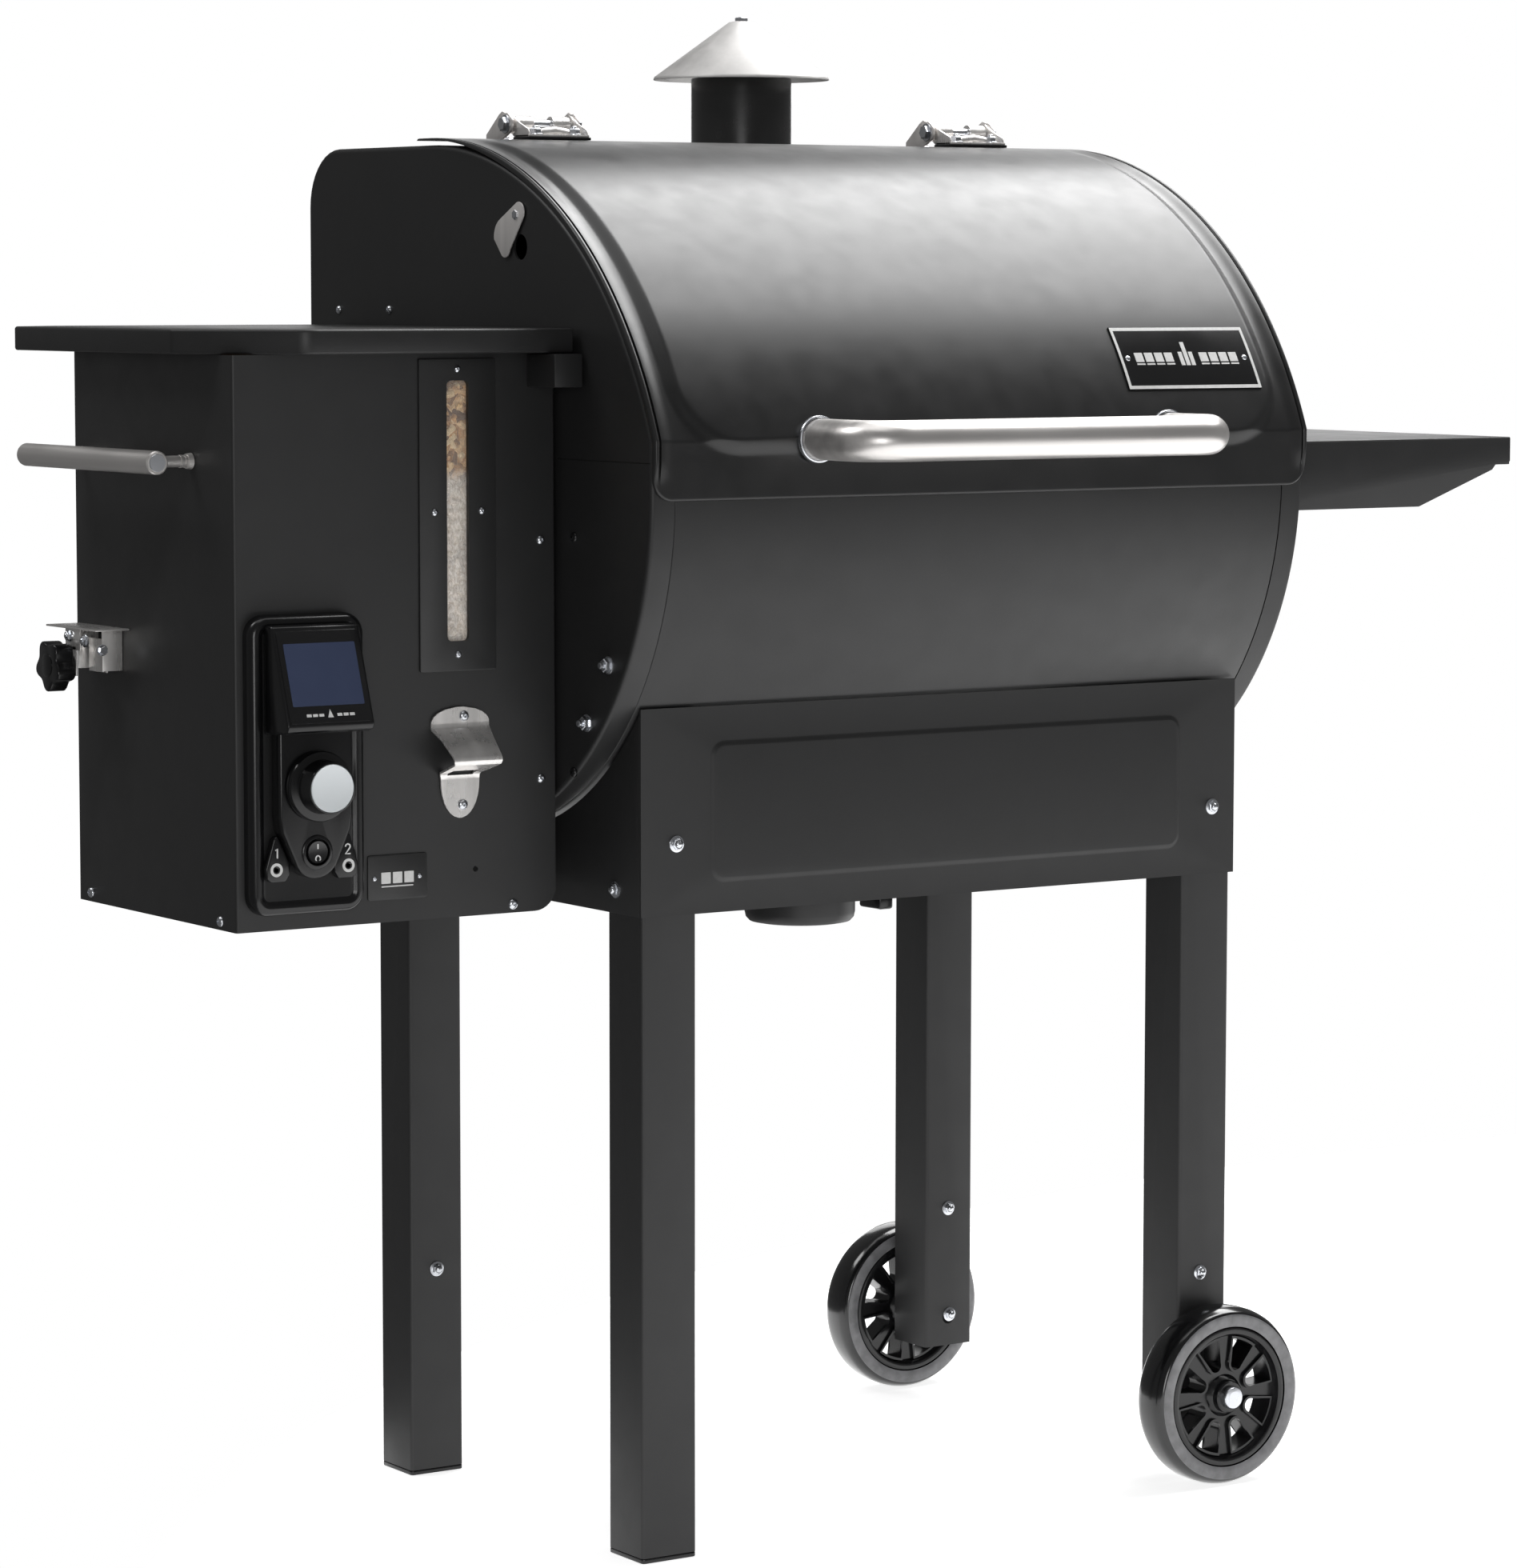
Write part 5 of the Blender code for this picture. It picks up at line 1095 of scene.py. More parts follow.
def build_bin():
    rim = (HOP_L + 0.0023, HOP_R - 0.0023, HOP_F + 0.005, HOP_B - 0.0023)
    mouth = (-0.530, -0.470, -0.030, 0.030)
    levels = ((rim, 0.970), (rim, 0.800), (mouth, 0.666), (mouth, 0.662))
    bm = bmesh.new()
    loops = []
    for inset, order in ((0.0, levels), (0.0016, levels[::-1])):
        for (x0, x1, y0, y1), z in order:
            corners = ((x0 + inset, y0 + inset), (x1 - inset, y0 + inset), (x1 - inset, y1 - inset),
                       (x0 + inset, y1 - inset))
            loops.append([bm.verts.new((x, y, z)) for x, y in corners])
    for first, second in zip(loops, loops[1:] + loops[:1]):
        for k in range(4):
            bm.faces.new((first[k], first[(k + 1) % 4], second[(k + 1) % 4], second[k]))
    window = box((-0.4415, HOP_F - 0.01, 0.7440), (-0.4015, HOP_F + 0.03, 0.9600))
    piece("hopper_bin_folded", cut(bm, window), "steel", node="hopper_bin")

    pile = bmesh.new()
    x0, x1, y0, y1 = rim[0] + 0.003, rim[1] - 0.003, rim[2] + 0.0125, rim[3] - 0.003
    nx, ny = 44, 40
    for i in range(nx + 1):
        for j in range(ny + 1):
            x, y = x0 + (x1 - x0) * i / nx, y0 + (y1 - y0) * j / ny
            z = 0.948 + 0.004 * math.sin(17 * x + 3) * math.cos(21 * y) + random.uniform(-0.0025, 0.0025)
            pile.verts.new((x, y, z))
    pile.verts.ensure_lookup_table()
    for i in range(nx):
        for j in range(ny):
            a = i * (ny + 1) + j
            pile.faces.new([pile.verts[k] for k in (a, a + ny + 1, a + ny + 2, a + 1)])
    edge = [e for e in pile.edges if len(e.link_faces) == 1]
    skirt = bmesh.ops.extrude_edge_only(pile, edges=edge)
    for v in [g for g in skirt["geom"] if isinstance(g, bmesh.types.BMVert)]:
        v.co.z = 0.80
    low = [e for e in pile.edges if len(e.link_faces) == 1]
    bmesh.ops.holes_fill(pile, edges=low, sides=0)
    heap = piece("pellet_heap", pile, "pellet")
    # Painted shade: the heap is tinted darker than the average pellet, so the gaps between the loose pellets
    # read dark.
    tint(heap, lambda v: 0.25)

    parts, shades = bmesh.new(), []
    spots = []
    for _ in range(620):
        spots.append((random.uniform(-0.4370, -0.4060), random.uniform(HOP_F + 0.0075, HOP_F + 0.0155),
                      random.uniform(0.7440, 0.9520), True))
    for _ in range(900):
        spots.append((random.uniform(x0 + 0.008, x1 - 0.008), random.uniform(y0 + 0.008, y1 - 0.008),
                      random.uniform(0.948, 0.9565), False))
    for x, y, z, upright in spots:
        length, radius = random.uniform(0.009, 0.019), random.uniform(0.0030, 0.0034)
        if upright:
            way = Vector((random.uniform(-1, 1), random.uniform(-0.12, 0.12), random.uniform(-1, 1)))
        else:
            way = Vector((random.uniform(-1, 1), random.uniform(-1, 1), random.uniform(-0.25, 0.25)))
        e = radius * 0.82
        one = lathe([(0, 0), (e, 0), (radius, 0.0006), (radius, length - 0.0006), (e, length),
                     (0, length)], (0, 0, 0), "Z", 9)
        place = facing(Vector((x, y, z)) - way.normalized() * length / 2, way)
        bmesh.ops.transform(one, matrix=place, verts=one.verts[:])
        shade = random.random()
        shades += [shade] * len(one.verts)
        join_into(parts, one)
    pellets = piece("pellets", parts, "pellet", weld=0)
    tint(pellets, lambda v: shades[v.index])


def tint(ob, value):
    layer = ob.data.attributes.new("shade", "FLOAT", "POINT")
    for v in ob.data.vertices:
        layer.data[v.index].value = value(v)


def build_hopper_fittings():
    bx, bz, br = -0.6635, 0.8954, 0.0093
    bar = [(0, 0), (br - 0.0010, 0), (br, 0.0010), (br, 0.2320), (br - 0.0010, 0.233), (0, 0.233)]
    piece("hopper_handle_bar", lathe(bar, (bx, 0.146, bz), "Y", 48), "cross", node="hopper_handle")
    ends = []
    for y, way in ((-0.0869, -1), (0.1459, 1)):
        ends.append(turned([(0, 0), (br - 0.0022, 0), (br - 0.0026, 0.0006), (0, 0.0007)], (bx, y, bz),
                           (0, way, 0), 40))
    piece("hopper_handle_plugs", together(*ends), "zinc")
    posts = []
    for y in (-0.063, 0.128):
        profile = [(0, 0), (0.0046, 0), (0.0046, 0.0310), (0.0052, 0.0312), (0.0052, 0.0330),
                   (0.0044, 0.0332),
                   (0.0044, 0.0350), (0.0052, 0.0352), (0.0052, 0.0370), (0.0060, 0.0372),
                   (0.0066, 0.0412), (0, 0.0412)]
        posts.append(lathe(profile, (bx, y, bz), "X", 28))
    piece("hopper_handle_posts", together(*posts), "cross")

    cx, cy, cz = -0.651, 0.094, 0.727
    top = box((cx - 0.002, 0.046, 0.7560), (HOP_L - 0.0003, 0.136, 0.7575), 0.0004)
    hood = [top]
    for y in (0.0600, 0.1030):
        cheek = [(HOP_L - 0.0003, 0.7228), (HOP_L - 0.0003, 0.7565), (cx + 0.0110, 0.7565),
                 (cx + 0.0110, 0.7228)]
        hood.append(prism(cheek, y, y + 0.0015, "Y", 0.0003))
    hood.append(box((cx, 0.0780, 0.7390), (cx + 0.0015, 0.1045, 0.7575), 0.0003))
    hood.append(box((cx, cy - 0.0085, 0.7180), (cx + 0.0015, cy + 0.0085, 0.7420), 0.0003))
    slide = box((-0.6330, 0.0665, 0.7210), (-0.6318, 0.0985, 0.7480), 0.0003)
    hood.append(slide)
    piece("cleanout_hood", together(*hood), "plate", node="cleanout_chute")
    bolts = [hex_bolt((cx, 0.0680, 0.7475), (-1, 0, 0), 0.0042, 0.0024, True, 0.0010),
             hex_bolt((cx, 0.0965, 0.7500), (-1, 0, 0), 0.0040, 0.0024, True, 0.0010),
             hex_bolt((-0.6400, 0.0600, 0.7400), (0, -1, 0), 0.0036, 0.003)]
    piece("cleanout_bolts", together(*bolts), "zinc")
    outline = []
    for k in range(120):
        angle = math.tau * k / 120
        reach = 0.0188 + 0.0026 * math.cos(5 * angle + 1.2)
        outline.append((cy + reach * math.cos(angle), cz + reach * math.sin(angle)))
    star = prism(outline, cx - 0.022, cx - 0.0055, "X", 0.0018, 3)
    stem = lathe([(0.006, 0), (0.0105, 0), (0.0090, 0.0050), (0.0082, 0.0068), (0.0, 0.0068), (0, 0)],
                 (cx - 0.0072, cy, cz), "X", 32)
    dish = lathe([(0, 0), (0.008, 0), (0.0095, 0.0008), (0.0095, 0.0022), (0, 0.0022)],
                 (cx - 0.0232, cy, cz), "X", 32)
    piece("cleanout_star_knob", together(star, stem, dish), "plastic", "star_knob", "cleanout_knob")

    build_opener()


def build_opener():
    ox = -0.4205
    rows = [(0.6980, 0.0004, -0.4240, -0.4172)]
    for t in (0.15, 0.35, 0.6, 0.85, 1.0):
        half = 0.02665 * math.sin(math.acos(1 - t)) if t < 1 else 0.02665
        rows.append((0.6980 - 0.0125 * t, 0.0004, ox - 0.0001 - half, ox - 0.0001 + half))
    rows.append((0.6822, 0.0004, -0.4473, -0.3940))
    rows.append((0.6806, 0.0016, -0.4472, -0.3940))
    rows.append((0.6740, 0.0110, -0.4440, -0.3962))
    rows.append((0.6610, 0.0285, -0.4432, -0.3990))
    rows.append((0.6585, 0.0300, -0.4430, -0.3990))
    rows.append((0.6560, 0.0300, -0.4430, -0.3990))
    rows.append((0.6535, 0.0285, -0.4420, -0.3995))
    rows.append((0.6480, 0.0120, -0.4410, -0.4005))
    rows.append((0.6450, 0.0016, -0.4400, -0.4020))
    rows.append((0.6435, 0.0004, -0.4392, -0.4028))
    for t in (0.0, 0.2, 0.4, 0.6, 0.75, 0.87, 0.95, 1.0):
        half = 0.0177 * math.sqrt(max(0.0, 1 - t ** 2.2)) if t < 1 else 0.0016
        rows.append((0.6400 - 0.0310 * t, 0.0004, -0.4209 - half, -0.4209 + half))
    across = [0.0, 0.09, 0.18, 0.82, 0.91, 1.0]
    t = 0.0018
    bm = bmesh.new()
    grid = []
    for z, out, xl, xr in rows:
        grid.append([bm.verts.new((xl + (xr - xl) * u, WALL - out - t, z)) for u in across])
    for i in range(len(rows) - 1):
        for j in range(len(across) - 1):
            if j == 2 and 13 <= i <= 14:
                continue
            bm.faces.new((grid[i][j], grid[i][j + 1], grid[i + 1][j + 1], grid[i + 1][j]))
    bmesh.ops.recalc_face_normals(bm, faces=bm.faces[:])
    front = sum((f.normal.y for f in bm.faces))
    if front > 0:
        bmesh.ops.reverse_faces(bm, faces=bm.faces[:])
    mesh = bpy.data.meshes.new("opener")
    bm.to_mesh(mesh)
    bm.free()
    temp = bpy.data.objects.new("opener", mesh)
    bpy.context.scene.collection.objects.link(temp)
    solid = temp.modifiers.new("solid", "SOLIDIFY")
    solid.thickness, solid.offset = t, -1.0
    bpy.context.view_layer.update()
    done = bpy.data.meshes.new_from_object(temp.evaluated_get(bpy.context.evaluated_depsgraph_get()))
    out = bmesh.new()
    out.from_mesh(done)
    bpy.data.objects.remove(temp)
    bpy.data.meshes.remove(mesh)
    bpy.data.meshes.remove(done)
    ob = piece("bottle_opener_bent", out, "plate", node="bottle_opener", smooth=40)
    harden(ob, 0.0004, 2, 50)
    screws = [pan_screw((-0.4173, WALL - 0.0022, 0.6905), (0, -1, 0), 0.0045),
              pan_screw((-0.4188, WALL - 0.0022, 0.6195), (0, -1, 0), 0.0045)]
    piece("bottle_opener_screws", together(*screws), "zinc")


# ---------------------------------------------------------------- controller

def stroke(points, width, y, thick=0.0003, closed=False):
    """A printed line in the XZ plane."""
    outer, inner = [], []
    count = len(points)
    for i, point in enumerate(points):
        here = Vector(point)
        before = Vector(points[(i - 1) % count] if closed or i else points[0])
        after = Vector(points[(i + 1) % count] if closed or i < count - 1 else points[-1])
        along = (after - before).normalized()
        side = Vector((-along.y, along.x)) * width / 2
        for grid, depth in ((outer, y - thick), (inner, y + 0.0001)):
            a, b = here - side, here + side
            grid.append([(a.x, depth, a.y), (b.x, depth, b.y)])
    if closed:
        outer.append(outer[0])
        inner.append(inner[0])
    return skin(outer, inner)


def build_controller():
    wall = WALL
    x0, x1, z0, z1 = CTL_X - 0.0510, CTL_X + 0.0510, 0.5417, 0.7775
    floor = wall - 0.0104
    shapes = [(0.0, 0.0), (0.0, 0.0062), (0.0005, 0.0088), (0.0018, 0.0110), (0.0038, 0.0125),
              (0.0060, 0.0130),
              (0.0078, 0.0128), (0.0094, 0.0119), (0.0108, 0.0108), (0.0118, 0.0104)]
    bm = bmesh.new()
    loops = []
    for inset, out in shapes:
        ring = rounded(x0 + inset, x1 - inset, z0 + inset, z1 - inset, max(0.0165 - inset, 0.0045), 8)
        loops.append([bm.verts.new((x, wall - out, z)) for x, z in ring])
    for first, second in zip(loops, loops[1:]):
        for k in range(len(first)):
            bm.faces.new((first[k], first[(k + 1) % len(first)], second[(k + 1) % len(first)], second[k]))
    bm.faces.new(loops[0])
    bm.faces.new(loops[-1]).material_index = 1
    piece("controller_case", bm, ("plastic", "powder"), node="controller_housing",
          smooth=50)

    hw = 0.0385
    side = [(floor + 0.0005, 0.7700), (wall - 0.0230, 0.7700), (wall - 0.0245, 0.7680),
            (wall - 0.0500, 0.6935),
            (wall - 0.0490, 0.6890), (wall - 0.0435, 0.6870), (floor + 0.0005, 0.6845)]
    hood = prism(side, CTL_X - hw, CTL_X + hw, "X", 0.0020, 3)
    piece("controller_hood", hood, "plastic", smooth=50)
    top = Vector((CTL_X, wall - 0.0245, 0.7680))
    low = Vector((CTL_X, wall - 0.0500, 0.6935))
    run = (low - top).normalized()
    out = Vector((0.0, run.z, -run.y))
    turn = Matrix((Vector((1, 0, 0)), -run, out)).transposed().to_4x4()

    def on_face(bm, along, lift=0.0):
        place = Matrix.Translation(top + run * along + out * lift) @ turn
        bmesh.ops.transform(bm, matrix=place, verts=bm.verts[:])
        return bm

    face = prism(rounded(-0.0360, 0.0360, -0.0372, 0.0372, 0.003, 4), -0.0004, 0.0006, "Z", 0.0003)
    piece("display_glass", on_face(face, 0.0398), "gloss")
    screen = prism(rounded(-0.0315, 0.0315, -0.0252, 0.0252, 0.0008, 2), 0.0004, 0.0009, "Z")
    piece("display_lit", on_face(screen, 0.0380), "lcd", node="display_screen")
    marks = [prism([(a, -0.0011), (a + 0.0042, -0.0011), (a + 0.0042, 0.0011), (a, 0.0011)], 0.0004,
                   0.0009, "Z")
             for a in (-0.0210, -0.0155, -0.0100, 0.0060, 0.0115, 0.0170)]
    marks.append(prism([(-0.0024, -0.0020), (0.0024, -0.0020), (0.0, 0.0044)], 0.0004, 0.0009, "Z"))
    piece("display_print", on_face(together(*marks), 0.0708), "white")

    panel_y = wall - 0.0247
    shape = [(CTL_X + 0.0325, 0.6880), (CTL_X - 0.0325, 0.6880), (CTL_X - 0.0325, 0.6200),
             (CTL_X - 0.0305, 0.6080)]
    shape += arc(CTL_X, SWITCH_Z, 0.0210, math.radians(200), math.radians(340), 14)
    shape += [(CTL_X + 0.0305, 0.6080), (CTL_X + 0.0325, 0.6200)]
    panel = prism(shape, panel_y, floor + 0.0005, "Y", 0.0028, 4)
    well = lathe(rod(0.0112, 0.02), (CTL_X, wall - 0.0165, SWITCH_Z), "Y", 40)
    shaft_hole = lathe(rod(0.0053, 0.03), (CTL_X, wall - 0.0035, DIAL_Z), "Y", 24)
    piece("controller_panel", cut(panel, well, shaft_hole), "plastic", smooth=50)
    bezel = lathe([(0.0105, 0), (0.0134, 0), (0.0136, 0.0006), (0.0126, 0.0016), (0.0108, 0.0016),
                   (0.0105, 0.0010)],
                  (CTL_X, panel_y + 0.0002, SWITCH_Z), "Y", 48)
    piece("controller_bezel", bezel, "plastic", smooth=50)
    wings = []
    front = wall - 0.0175
    for jx, s in zip(JACKS, (1, -1)):
        tri = [(jx + s * 0.0015, 0.6060), (jx - s * 0.0020, 0.6035), (jx - s * 0.0092, 0.5800),
               (jx - s * 0.0085, 0.5725),
               (jx - s * 0.0040, 0.5690), (jx + s * 0.0085, 0.5690), (jx + s * 0.0125, 0.5750),
               (jx + s * 0.0120, 0.5840)]
        if s < 0:
            tri = tri[::-1]
        wings.append(prism(tri, front, floor + 0.0005, "Y", 0.0016, 3))
    piece("controller_wings", together(*wings), "plastic", smooth=50)
    prints, dark = [], []
    for jx in JACKS:
        prints.append(lathe([(0.0032, 0), (0.0054, 0), (0.0054, 0.0005), (0.0032, 0.0005)],
                            (jx, front + 0.0001, 0.5790), "Y", 40))
        dark.append(lathe([(0, 0), (0.0031, 0), (0.0031, 0.0004), (0.0022, 0.0004), (0.0018, 0.0001),
                           (0, 0.0001)],
                          (jx, front + 0.0001, 0.5790), "Y", 32))
    one = [(-0.0014, 0.0024), (0.0003, 0.0038), (0.0003, -0.0038)]
    two = [(-0.0022, 0.0020), (-0.0015, 0.0034), (0.0000, 0.0040), (0.0017, 0.0033), (0.0021, 0.0017),
           (0.0011, 0.0000),
           (-0.0022, -0.0038), (0.0024, -0.0038)]
    for shape, jx in ((one, -0.5952), (two, -0.5323)):
        prints.append(stroke([(jx + a, 0.5920 + b) for a, b in shape], 0.0012, front))
    piece("jack_print", together(*prints), "white")
    piece("jack_sockets", together(*dark), "gloss")

    ky = wall - 0.0265
    grip = [(0.0, 0.0), (0.0276, 0.0), (0.0280, 0.0008), (0.0279, 0.0046), (0.0270, 0.0062),
            (0.0240, 0.0070),
            (0.0214, 0.0074), (0.0207, 0.0086), (0.0204, 0.0226), (0.0200, 0.0238), (0.0192, 0.0241),
            (0.0190, 0.0232),
            (0.0, 0.0230)]
    piece("dial_grip", lathe(grip, (CTL_X, ky, DIAL_Z), "Y", 72), "plastic", "dial", "control_knob")
    disc = [(0.0, 0.0228), (0.0189, 0.0228), (0.0190, 0.0236), (0.0184, 0.0242), (0.0140, 0.0240),
            (0.0, 0.0236)]
    piece("dial_disc", lathe(disc, (CTL_X, ky, DIAL_Z), "Y", 72), "disc", "dial")
    shaft = [(0, 0), (0.0045, 0), (0.0045, 0.0335), (0.0038, 0.035), (0, 0.035)]
    piece("dial_shaft", lathe(shaft, (CTL_X, wall - 0.006, DIAL_Z), "Y", 24), "zinc", "push_shaft",
          "control_shaft")

    rock = lathe([(0, 0), (0.0095, 0), (0.0095, 0.0062), (0.0086, 0.0077), (0, 0.0072)],
                 (CTL_X, wall - 0.0185, SWITCH_Z), "Y", 40)
    piece("rocker_cap", rock, "gloss", "rocker", "power_switch")
    on = stroke([(CTL_X, 0.5945), (CTL_X, 0.5985)], 0.0012, wall - 0.0258)
    off = stroke([(CTL_X + 0.0020 * math.cos(math.tau * k / 18),
                   0.5868 + 0.0024 * math.sin(math.tau * k / 18))
                  for k in range(18)], 0.0011, wall - 0.0258, closed=True)
    piece("rocker_print", together(on, off), "white", "rocker")


# ---------------------------------------------------------------- shelf, wheels, ash parts, inside

def build_shelf():
    y, left, right, top, lip_z = 0.200, 0.3303, 0.628, 0.898, 0.8735
    plate = box((left, -y, top - SHEET), (right, y, top), 0.0009, 3)
    gusset = [(left, top - 0.001), (left, 0.838), (0.522, 0.838), (0.607, 0.869), (0.611, lip_z),
              (right - 0.003, lip_z),
              (right, lip_z + 0.003), (right, top - 0.001)]
    parts = [plate]
    for y0 in (-y, y - SHEET):
        parts.append(prism(gusset, y0, y0 + SHEET, "Y", 0.0006))
    parts.append(box((right - SHEET, -y + 0.001, lip_z), (right, y - 0.001, top - 0.0006), 0.0006))
    parts.append(box((left, -y + 0.001, 0.838), (left + SHEET, y - 0.001, top - 0.001), 0.0004))
    parts.append(box((0.46, -y + 0.002, 0.872), (0.50, y - 0.002, top - 0.0015), 0.0006))
    piece("side_shelf_folded", together(*parts), "powder", node="side_shelf")


def spoke_window(middle, grow):
    """The window between two spokes, rounded towards the hub, grown by a margin."""
    base, outer, r_in = 0.0295, 0.0500 + grow, 0.0058 + grow
    centre = Vector((math.cos(middle), math.sin(middle)))
    across = Vector((-centre.y, centre.x))
    points = []
    for k in range(11):
        angle = math.pi / 2 + math.pi * k / 10
        points.append(centre * (base + r_in * math.cos(angle)) + across * (r_in * math.sin(angle)))
    reach = math.asin((0.0116 + grow) / outer)
    for k in range(9):
        angle = middle - reach + 2 * reach * k / 8
        points.append(Vector((math.cos(angle), math.sin(angle))) * outer)
    return [(WHEEL_X + p.x, WHEEL_R + p.y) for p in points]


def build_wheels():
    for tag, side in (("front", -1), ("rear", 1)):
        near, far = side * 0.2205, side * 0.2560
        y0, y1 = min(near, far), max(near, far)
        body = "wheel_" + tag
        wide = y1 - y0
        half = wide / 2
        profile = [(0.0612, -half + 0.0012), (0.0640, -half + 0.0004), (0.0700, -half)]
        profile += [(0.0700 + 0.0052 * math.sin(a), -half + 0.0052 * (1 - math.cos(a)))
                    for a in (0.4, 0.8, 1.15)]
        profile += [(0.0765, -half + 0.0064), (0.0773, -half + 0.0105), (0.0775, 0.0)]
        profile += [(r, -h) for r, h in profile[-2::-1]]
        mid = (WHEEL_X, (y0 + y1) / 2, WHEEL_R)
        tyre = lathe(profile, mid, "Y", 128)
        for face in tyre.faces:
            c = face.calc_center_median()
            r = math.hypot(c.x - WHEEL_X, c.z - WHEEL_R)
            face.material_index = 0 if 0.0612 < r < 0.0722 and abs(c.y - mid[1]) > half - 0.004 else 1
        piece("tyre_moulded_" + tag, tyre, ("side", "rubber"), body, "tyre_" + tag, smooth=50)

        web = 0.0085
        disc = lathe([(0.0064, -0.0125), (0.0150, -0.0125), (0.0165, -0.0110), (0.0185, -web),
                      (0.0515, -web),
                      (0.0535, -0.0120), (0.0548, -0.0158), (0.0575, -0.0168), (0.0600, -0.0160),
                      (0.0611, -0.0140),
                      (0.0611, 0.0140), (0.0600, 0.0160), (0.0575, 0.0168), (0.0548, 0.0158),
                      (0.0535, 0.0120),
                      (0.0515, web), (0.0185, web), (0.0165, 0.0110), (0.0150, 0.0125), (0.0064, 0.0125)],
                      mid, "Y", 96)
        windows = [prism(spoke_window(math.tau * (k + 0.5) / 8, 0.0), y0 - 0.01, y1 + 0.01, "Y")
                   for k in range(8)]
        hub = cut(disc, *windows)
        lips = []
        for k in range(8):
            a = math.tau * (k + 0.5) / 8
            ring_out, ring_in = spoke_window(a, 0.0022), spoke_window(a, 0.0001)
            for s in (-1, 1):
                lo, hi = sorted((mid[1] + s * (web - 0.001), mid[1] + s * (web + 0.0030)))
                outer = [[(x, lo, z), (x, hi, z)] for x, z in ring_out + ring_out[:1]]
                inner = [[(x, lo, z), (x, hi, z)] for x, z in ring_in + ring_in[:1]]
                lips.append(skin(outer, inner))
        piece("hub_spoked_" + tag, together(hub, *lips), "plastic", body, "hub_" + tag,
              smooth=40)

        start, end = side * (LEG_Y - 0.010), side * 0.2620
        length = abs(end - start)
        shaft = rod(0.006, length)
        parts = [turned(shaft, (WHEEL_X, start, WHEEL_R), (0, side, 0), 32)]
        cap = [(0, 0), (0.0096, 0), (0.0098, 0.0010), (0.0098, 0.0048), (0.0090, 0.0060), (0.0060, 0.0066),
               (0.0, 0.0068)]
        parts.append(turned(cap, (WHEEL_X, side * 0.2552, WHEEL_R), (0, side, 0), 40))
        collar = rod(0.009, 0.0090)
        parts.append(turned(collar, (WHEEL_X, side * (LEG_Y + 0.0003), WHEEL_R), (0, side, 0), 32))
        piece("axle_pin_" + tag, together(*parts), "zinc", node="axle_" + tag)
        boss = [(0.0100, 0), (0.0145, 0), (0.0140, 0.0050), (0.0128, 0.0062), (0.0100, 0.0062)]
        piece("hub_boss_" + tag, turned(boss, (WHEEL_X, mid[1] + side * 0.0120, WHEEL_R), (0, side, 0),
                                        40), "plastic", body)


def build_ash():
    r, low, top = 0.048, 0.484, 0.568
    cup = [(0.0, low), (r - 0.010, low), (r - 0.004, low + 0.0012), (r - 0.001, low + 0.0045),
           (r, low + 0.009), (r, top - 0.001),
           (r - 0.0006, top), (r - 0.002, top), (r - 0.002, low + 0.009), (r - 0.005, low + 0.004),
           (r - 0.011, low + 0.002),
           (0.0, low + 0.002)]
    piece("ash_cup_spun", lathe(cup, (-0.003, 0, 0), "Z", 64), "powder", "cup", "ash_cup")
    gate = together(box((-0.055, -0.052, 0.569), (0.0785, 0.052, 0.5705), 0.0004),
                    box((0.0765, -0.012, 0.497), (0.0785, 0.012, 0.570), 0.0004),
                    box((0.0700, -0.016, 0.490), (0.0850, 0.016, 0.5035), 0.0025, 3))
    piece("ash_gate_bent", gate, "plastic", "gate", "ash_gate")


def build_inside():
    x_half, y0, y1, z = 0.296, -0.235, 0.235, 0.862
    bars = []
    for x in [-x_half + 0.0029 + (2 * x_half - 0.0058) * k / 44 for k in range(45)]:
        bars.append(sweep([Vector((x, y0 + 0.002, z + 0.0030)), Vector((x, y1 - 0.002, z + 0.0030))],
                          0.0028, 10))
    for y in (y0 + 0.003, -0.08, 0.08, y1 - 0.003):
        bars.append(sweep([Vector((-x_half, y, z + 0.0005)), Vector((x_half, y, z + 0.0005))], 0.0030, 12))
    piece("cooking_grate_rods", together(*bars), "enamel", node="cooking_grate")

    looks = {"grease_tray": "steel", "heat_deflector": "steel", "fire_pot": "steel", "auger": "steel",
             "auger_tube": "zinc", "auger_motor": "zinc", "igniter": "zinc", "temperature_sensor": "cross",
             "fan_housing": "plastic", "combustion_fan": "plastic"}
    for name, look in looks.items():
        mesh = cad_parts[name].data
        mesh.materials.clear()
        mesh.materials.append(M[look])


build_barrel()
build_lid()
build_nameplate()
build_hinges()
build_chimney()
build_frame()
build_hopper()
build_bin()
build_hopper_fittings()
build_controller()
build_shelf()
build_wheels()
build_ash()
build_inside()


# ---------------------------------------------------------------- stage, light, camera

FLOOR_X, FLOOR_Y, FLOOR_R = 1.45, -1.6, 2.6

def stage_floor():
    bm = bmesh.new()
    bmesh.ops.create_circle(bm, cap_ends=True, segments=96, radius=FLOOR_R)
    mesh = bpy.data.meshes.new("studio_floor")
    bm.to_mesh(mesh)
    bm.free()
    s = Shader("floor_pale", (0.9, 0.9, 0.9), 0.85, Specular_IOR_Level=0.0,
               Emission_Color=(1.0, 1.0, 1.0, 1.0),
               Emission_Strength=0.82)
    cloud = s.noise(0.8, 2.0)
    mesh.materials.append(s.finish(s.mix(s.remap(cloud, 0.3, 0.7, 0.0, 1.0), (0.70, 0.70, 0.70),
                                         (0.72, 0.72, 0.72))))
    floor = bpy.data.objects.new("studio_floor", mesh)
    floor.location = (FLOOR_X, FLOOR_Y, -0.0004)
    bpy.context.scene.collection.objects.link(floor)


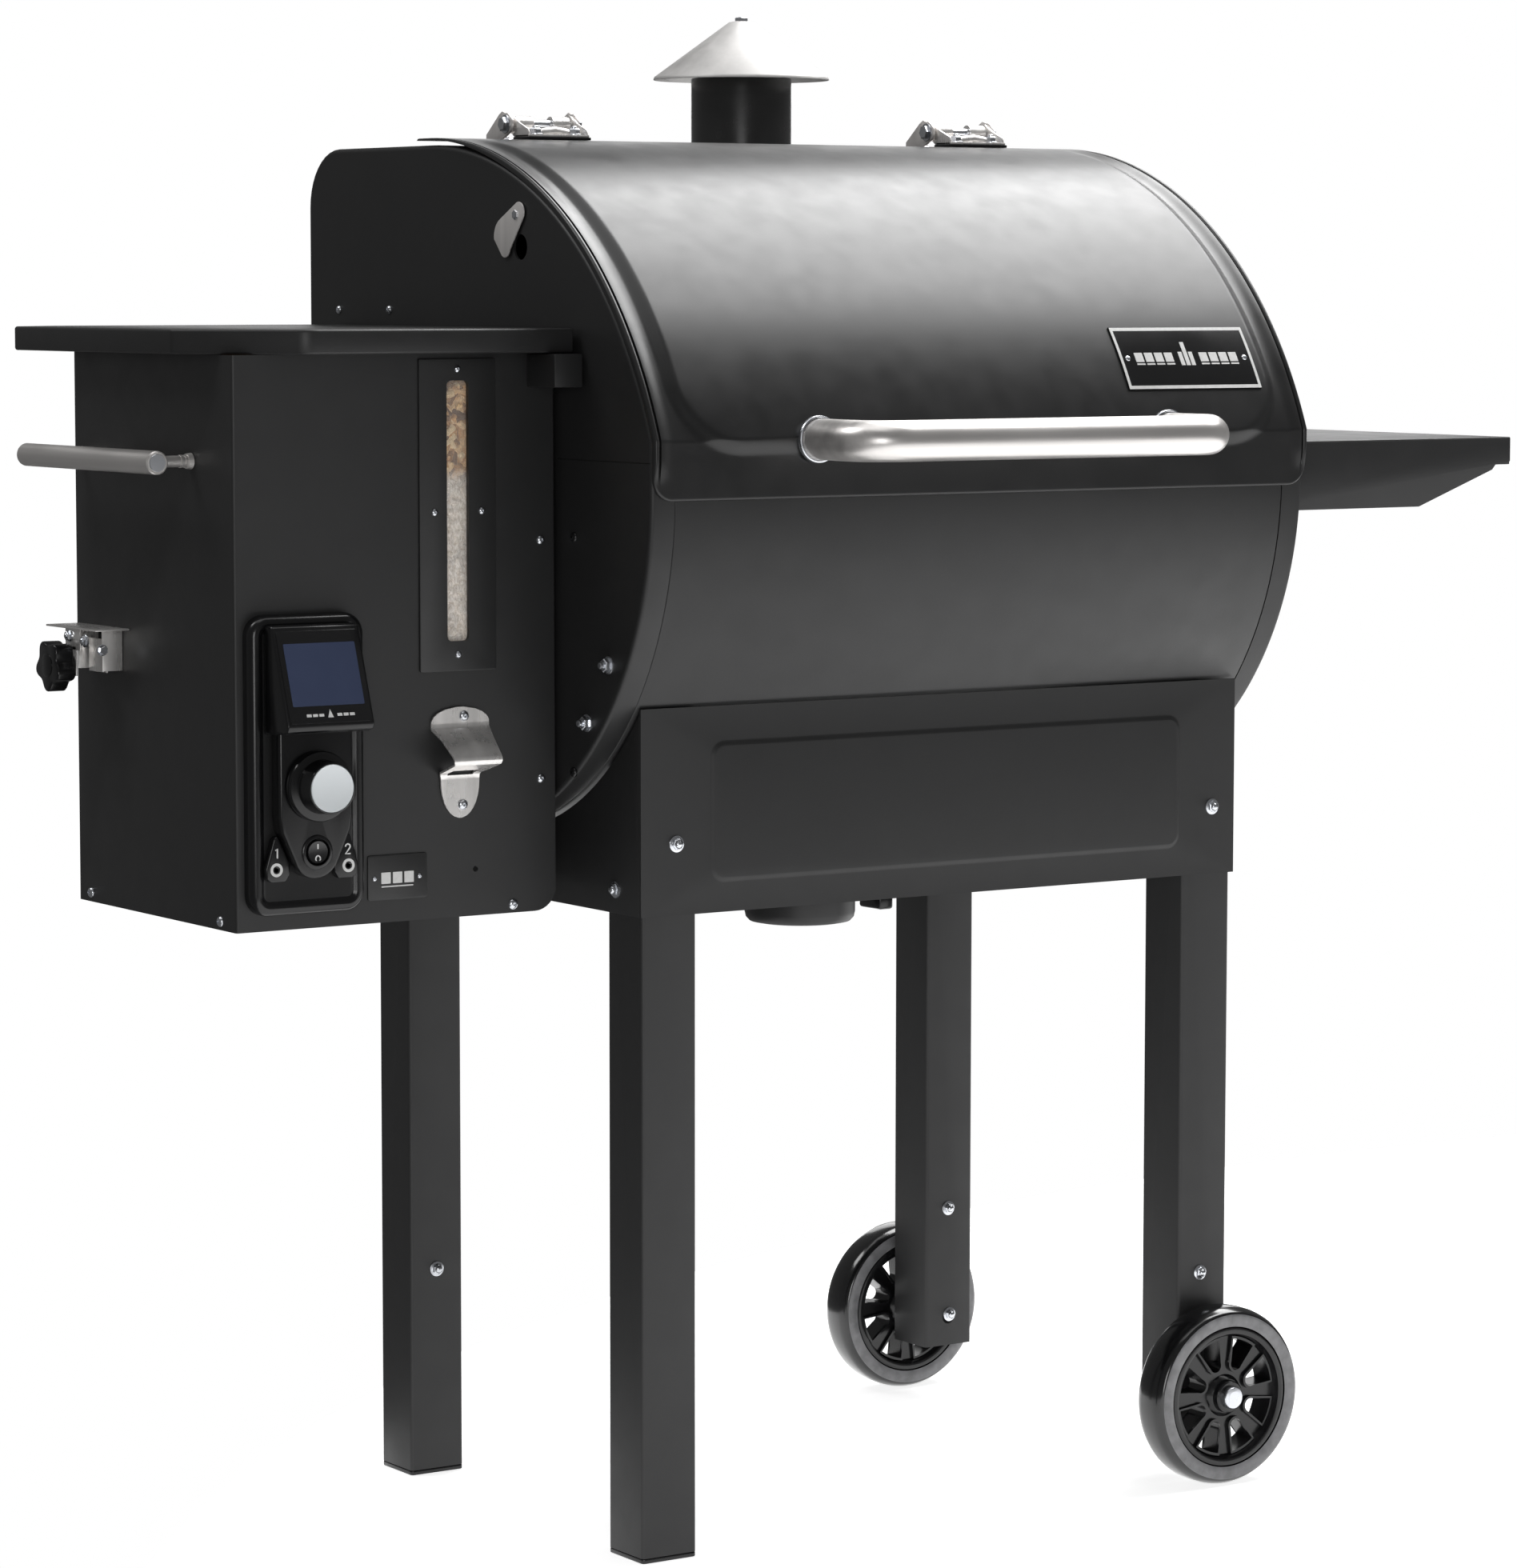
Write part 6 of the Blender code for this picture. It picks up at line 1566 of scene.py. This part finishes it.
def area(name, place, target, size, power, tall=None):
    light = bpy.data.lights.new(name, "AREA")
    light.shape = "RECTANGLE"
    light.size, light.size_y = size, tall or size
    light.energy = power
    ob = bpy.data.objects.new(name, light)
    ob.location = place
    ob.rotation_euler = (Vector(target) - Vector(place)).to_track_quat("-Z", "Y").to_euler()
    ob.visible_camera = False
    bpy.context.scene.collection.objects.link(ob)
    return ob


def light_studio():
    world = bpy.data.worlds.new("studio")
    bpy.context.scene.world = world
    world.use_nodes = True
    tree = world.node_tree
    seen, fill = tree.nodes["Background"], tree.nodes.new("ShaderNodeBackground")
    seen.inputs["Color"].default_value = (1, 1, 1, 1)
    seen.inputs["Strength"].default_value = 1.0
    fill.inputs["Color"].default_value = (1, 1, 1, 1)
    fill.inputs["Strength"].default_value = 0.13
    path, mix = tree.nodes.new("ShaderNodeLightPath"), tree.nodes.new("ShaderNodeMixShader")
    tree.links.new(path.outputs["Is Camera Ray"], mix.inputs[0])
    tree.links.new(fill.outputs[0], mix.inputs[1])
    tree.links.new(seen.outputs[0], mix.inputs[2])
    tree.links.new(mix.outputs[0], tree.nodes["World Output"].inputs["Surface"])
    area("softbox_main", (1.85, 0.40, 3.35), (0.0, 0.0, 0.75), 2.75, 138.0, 2.1)
    area("softbox_over", (-0.4, -0.2, 4.4), (0.0, 0.0, 0.8), 3.0, 34.0)
    area("softbox_back", (2.6, 3.8, 1.7), (0.0, 0.2, 0.9), 2.4, 22.0, 2.0)
    area("softbox_left", (-2.6, 1.4, 4.2), (0.0, 0.1, 1.1), 1.6, 44.0)
    area("strip_front", (-3.6, -5.3, 1.25), (0.0, 0.0, 1.0), 1.9, 60.0, 2.2)


stage_floor()
light_studio()

camera = bpy.data.cameras.new("camera")
camera.lens = 119.62
camera.sensor_width = 36.0
camera.clip_end = 200.0
view = bpy.data.objects.new("camera", camera)
view.location = Vector((-2.51060, -3.72115, 1.03847)) + SHIFT
view.rotation_euler = (math.radians(90 - 5.543), math.radians(-0.051), math.radians(-33.512))
bpy.context.scene.collection.objects.link(view)
bpy.context.scene.camera = view
bpy.context.scene.view_settings.view_transform = "Standard"
